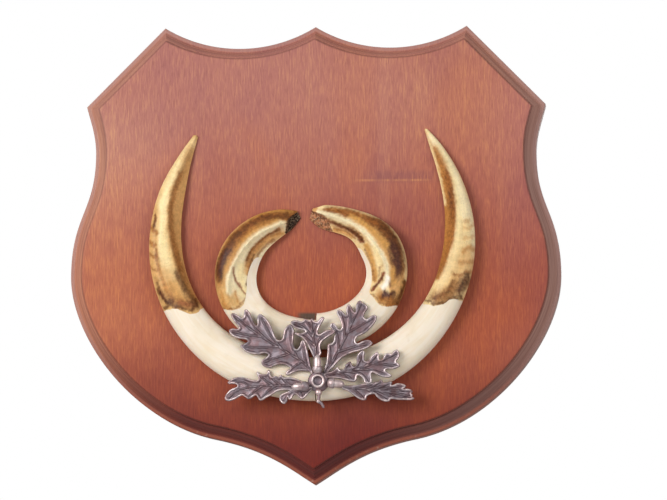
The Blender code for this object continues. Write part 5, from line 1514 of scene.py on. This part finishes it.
def add_bead(bm, wear_and_highlight_layer, x, z, radius):
    """Model a small polished knob that stands on the casting."""
    profile = plain([(0, radius * MM), (0.7 * radius * MM, 0.7 * radius * MM), (radius * MM, 0),
                     (radius * MM, -STALK_HEIGHT)], 4, 0.8)
    profile.append((0, -STALK_HEIGHT, (0, 0), 0))
    turn = Matrix.Rotation(math.pi / 2, 4, "X")
    add_turned(bm, wear_and_highlight_layer, profile, Matrix.Translation((x * MM, -STALK_HEIGHT, z * MM)) @ turn)


def make_spray(surface):
    """Model the whole casting finely and lay it over the tusks."""
    bm = bmesh.new()
    wear_and_highlight_layer = bm.verts.layers.float.new("wear_and_highlight")
    add_boss(bm, wear_and_highlight_layer)
    for leaf in LEAVES:
        add_leaf(bm, wear_and_highlight_layer, leaf)
    for acorn in ACORNS:
        add_acorn(bm, wear_and_highlight_layer, *acorn)
    add_empty_cup(bm, wear_and_highlight_layer)
    for x, z, radius in BEADS:
        add_bead(bm, wear_and_highlight_layer, x, z, radius)
    for route in STALKS:
        add_tube(bm, wear_and_highlight_layer, [(x, STALK_HEIGHT / MM, z) for x, z in route], STALK_RADII_MM, 0.35)
    bmesh.ops.translate(bm, vec=(SPRAY_MIDDLE[0], -SPRAY_BACK, SPRAY_MIDDLE[1]), verts=bm.verts[:])
    spray = new_object("oak_leaf_casting", bm, surface, SPRAY_SHARP)
    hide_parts("oak_leaf_spray")
    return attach(spray, "root")


def silver_material():
    """Return oxidised silver: purplish dark in the hollows, rubbed bright on rims and veins, which is partly
    a painted highlight.
    """
    made, tree, shader = node_material("oxidised_silver")
    n = Nodes(tree)
    place = n.coordinates()
    clouds = n.noise(place, 260, 3, 0.55)
    specks = n.noise(place, 1500, 3, 0.6)
    rubbed = n.span(n.noise(place, 110, 2, 0.5), 0.35, 0.62, 0.5, 1.05)
    wear_and_highlight = n.attribute("wear_and_highlight")
    wear_and_highlight = n.times(wear_and_highlight, n.mix(n.span(wear_and_highlight, 0, 0.2), (1, 1, 1), rubbed))
    wear_and_highlight = n.moved(wear_and_highlight, specks, 0.3)
    polished = n.span(wear_and_highlight, 0.1, 0.95)
    body = n.mix(n.span(clouds, 0.36, 0.62), SILVER_BODY, SILVER_BODY_PALE)
    dark = n.mix(n.span(wear_and_highlight, 0.05, -0.45), body, SILVER_DARK)
    # Partly rubbed polish, partly a painted highlight.
    bright = n.mix(n.span(clouds, 0.3, 0.7), SILVER_POLISH_AND_HIGHLIGHT, SILVER_POLISH_AND_HIGHLIGHT_PALE)
    n.feed(n.mix(polished, dark, bright), shader.inputs["Base Color"])
    n.feed(n.math("ADD", 0.55, n.times(polished, 0.25)), shader.inputs["Metallic"])
    rough = n.math("ADD", n.span(polished, 0, 1, 0.44, 0.36), n.span(specks, 0.3, 0.7, 0, 0.12))
    n.feed(rough, shader.inputs["Roughness"])
    relief = n.math("ADD", specks, n.times(clouds, 0.6))
    n.feed(n.bump(relief, 0.08 * MM, 0.4), shader.inputs["Normal"])
    return made


def make_lights():
    """Light the front softly from the left, nearly level, with weaker light from the right and behind."""
    for name, place, size, watts in LIGHTS:
        data = bpy.data.lights.new(name, "AREA")
        data.energy = watts
        data.size = size
        lamp = bpy.data.objects.new(name, data)
        lamp.location = place
        lamp.rotation_euler = (-Vector(place)).to_track_quat("-Z", "Y").to_euler()
        bpy.context.scene.collection.objects.link(lamp)


def make_world():
    """Surround the object with white studio walls, which light it more weakly than they look."""
    world = bpy.data.worlds.new("studio")
    bpy.context.scene.world = world
    world.use_nodes = True
    tree = world.node_tree
    background = tree.nodes["Background"]
    background.inputs["Color"].default_value = WALL_WHITE
    n = Nodes(tree)
    seen = n.add("ShaderNodeLightPath").outputs["Is Camera Ray"]
    n.feed(n.span(seen, 0, 1, WALL_LIGHT, 1), background.inputs["Strength"])


def make_floor():
    """Lay a plain pale floor well below the plaque, which hangs at eye level."""
    bpy.ops.mesh.primitive_plane_add(size=FLOOR_SIZE, location=(0, 0, FLOOR_HEIGHT))
    floor = bpy.context.object
    floor.name = "floor"
    made, tree, shader = node_material("pale_floor")
    n = Nodes(tree)
    seen = n.add("ShaderNodeLightPath").outputs["Is Camera Ray"]
    shader.inputs["Base Color"].default_value = FLOOR_PALE
    shader.inputs["Emission Color"].default_value = FLOOR_GLOW_COLOUR
    n.feed(n.span(seen, 0, 1, 0, FLOOR_GLOW), shader.inputs["Emission Strength"])
    shader.inputs["Roughness"].default_value = 0.7
    floor.data.materials.append(made)


def make_camera():
    """Stand the camera where the photograph was taken from."""
    data = bpy.data.cameras.new("camera")
    data.lens = CAMERA_LENS
    data.sensor_width = SENSOR_WIDTH
    data.clip_end = FARTHEST_SEEN
    camera = bpy.data.objects.new("camera", data)
    place = Vector(CAMERA_PLACE)
    facing = (Vector(CAMERA_AIM) - place).to_track_quat("-Z", "Y").to_matrix().to_4x4()
    camera.matrix_world = Matrix.Translation(place) @ facing @ Matrix.Rotation(CAMERA_ROLL, 4, "Z")
    bpy.context.scene.collection.objects.link(camera)
    bpy.context.scene.camera = camera


def main():
    """Build the pieces, the studio and the camera."""
    bpy.context.scene.view_settings.view_transform = "Standard"
    make_board(wood_material())
    ivory = ivory_material()
    for tusk in TUSKS:
        make_tusk(tusk, ivory)
    make_spray(silver_material())
    make_world()
    make_lights()
    make_floor()
    make_camera()


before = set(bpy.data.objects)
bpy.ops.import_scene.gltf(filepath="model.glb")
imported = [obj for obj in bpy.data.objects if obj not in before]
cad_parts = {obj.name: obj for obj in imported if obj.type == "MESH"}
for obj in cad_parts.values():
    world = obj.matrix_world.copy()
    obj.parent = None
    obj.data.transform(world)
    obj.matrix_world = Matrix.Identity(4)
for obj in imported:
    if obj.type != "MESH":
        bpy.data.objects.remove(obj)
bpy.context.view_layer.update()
main()
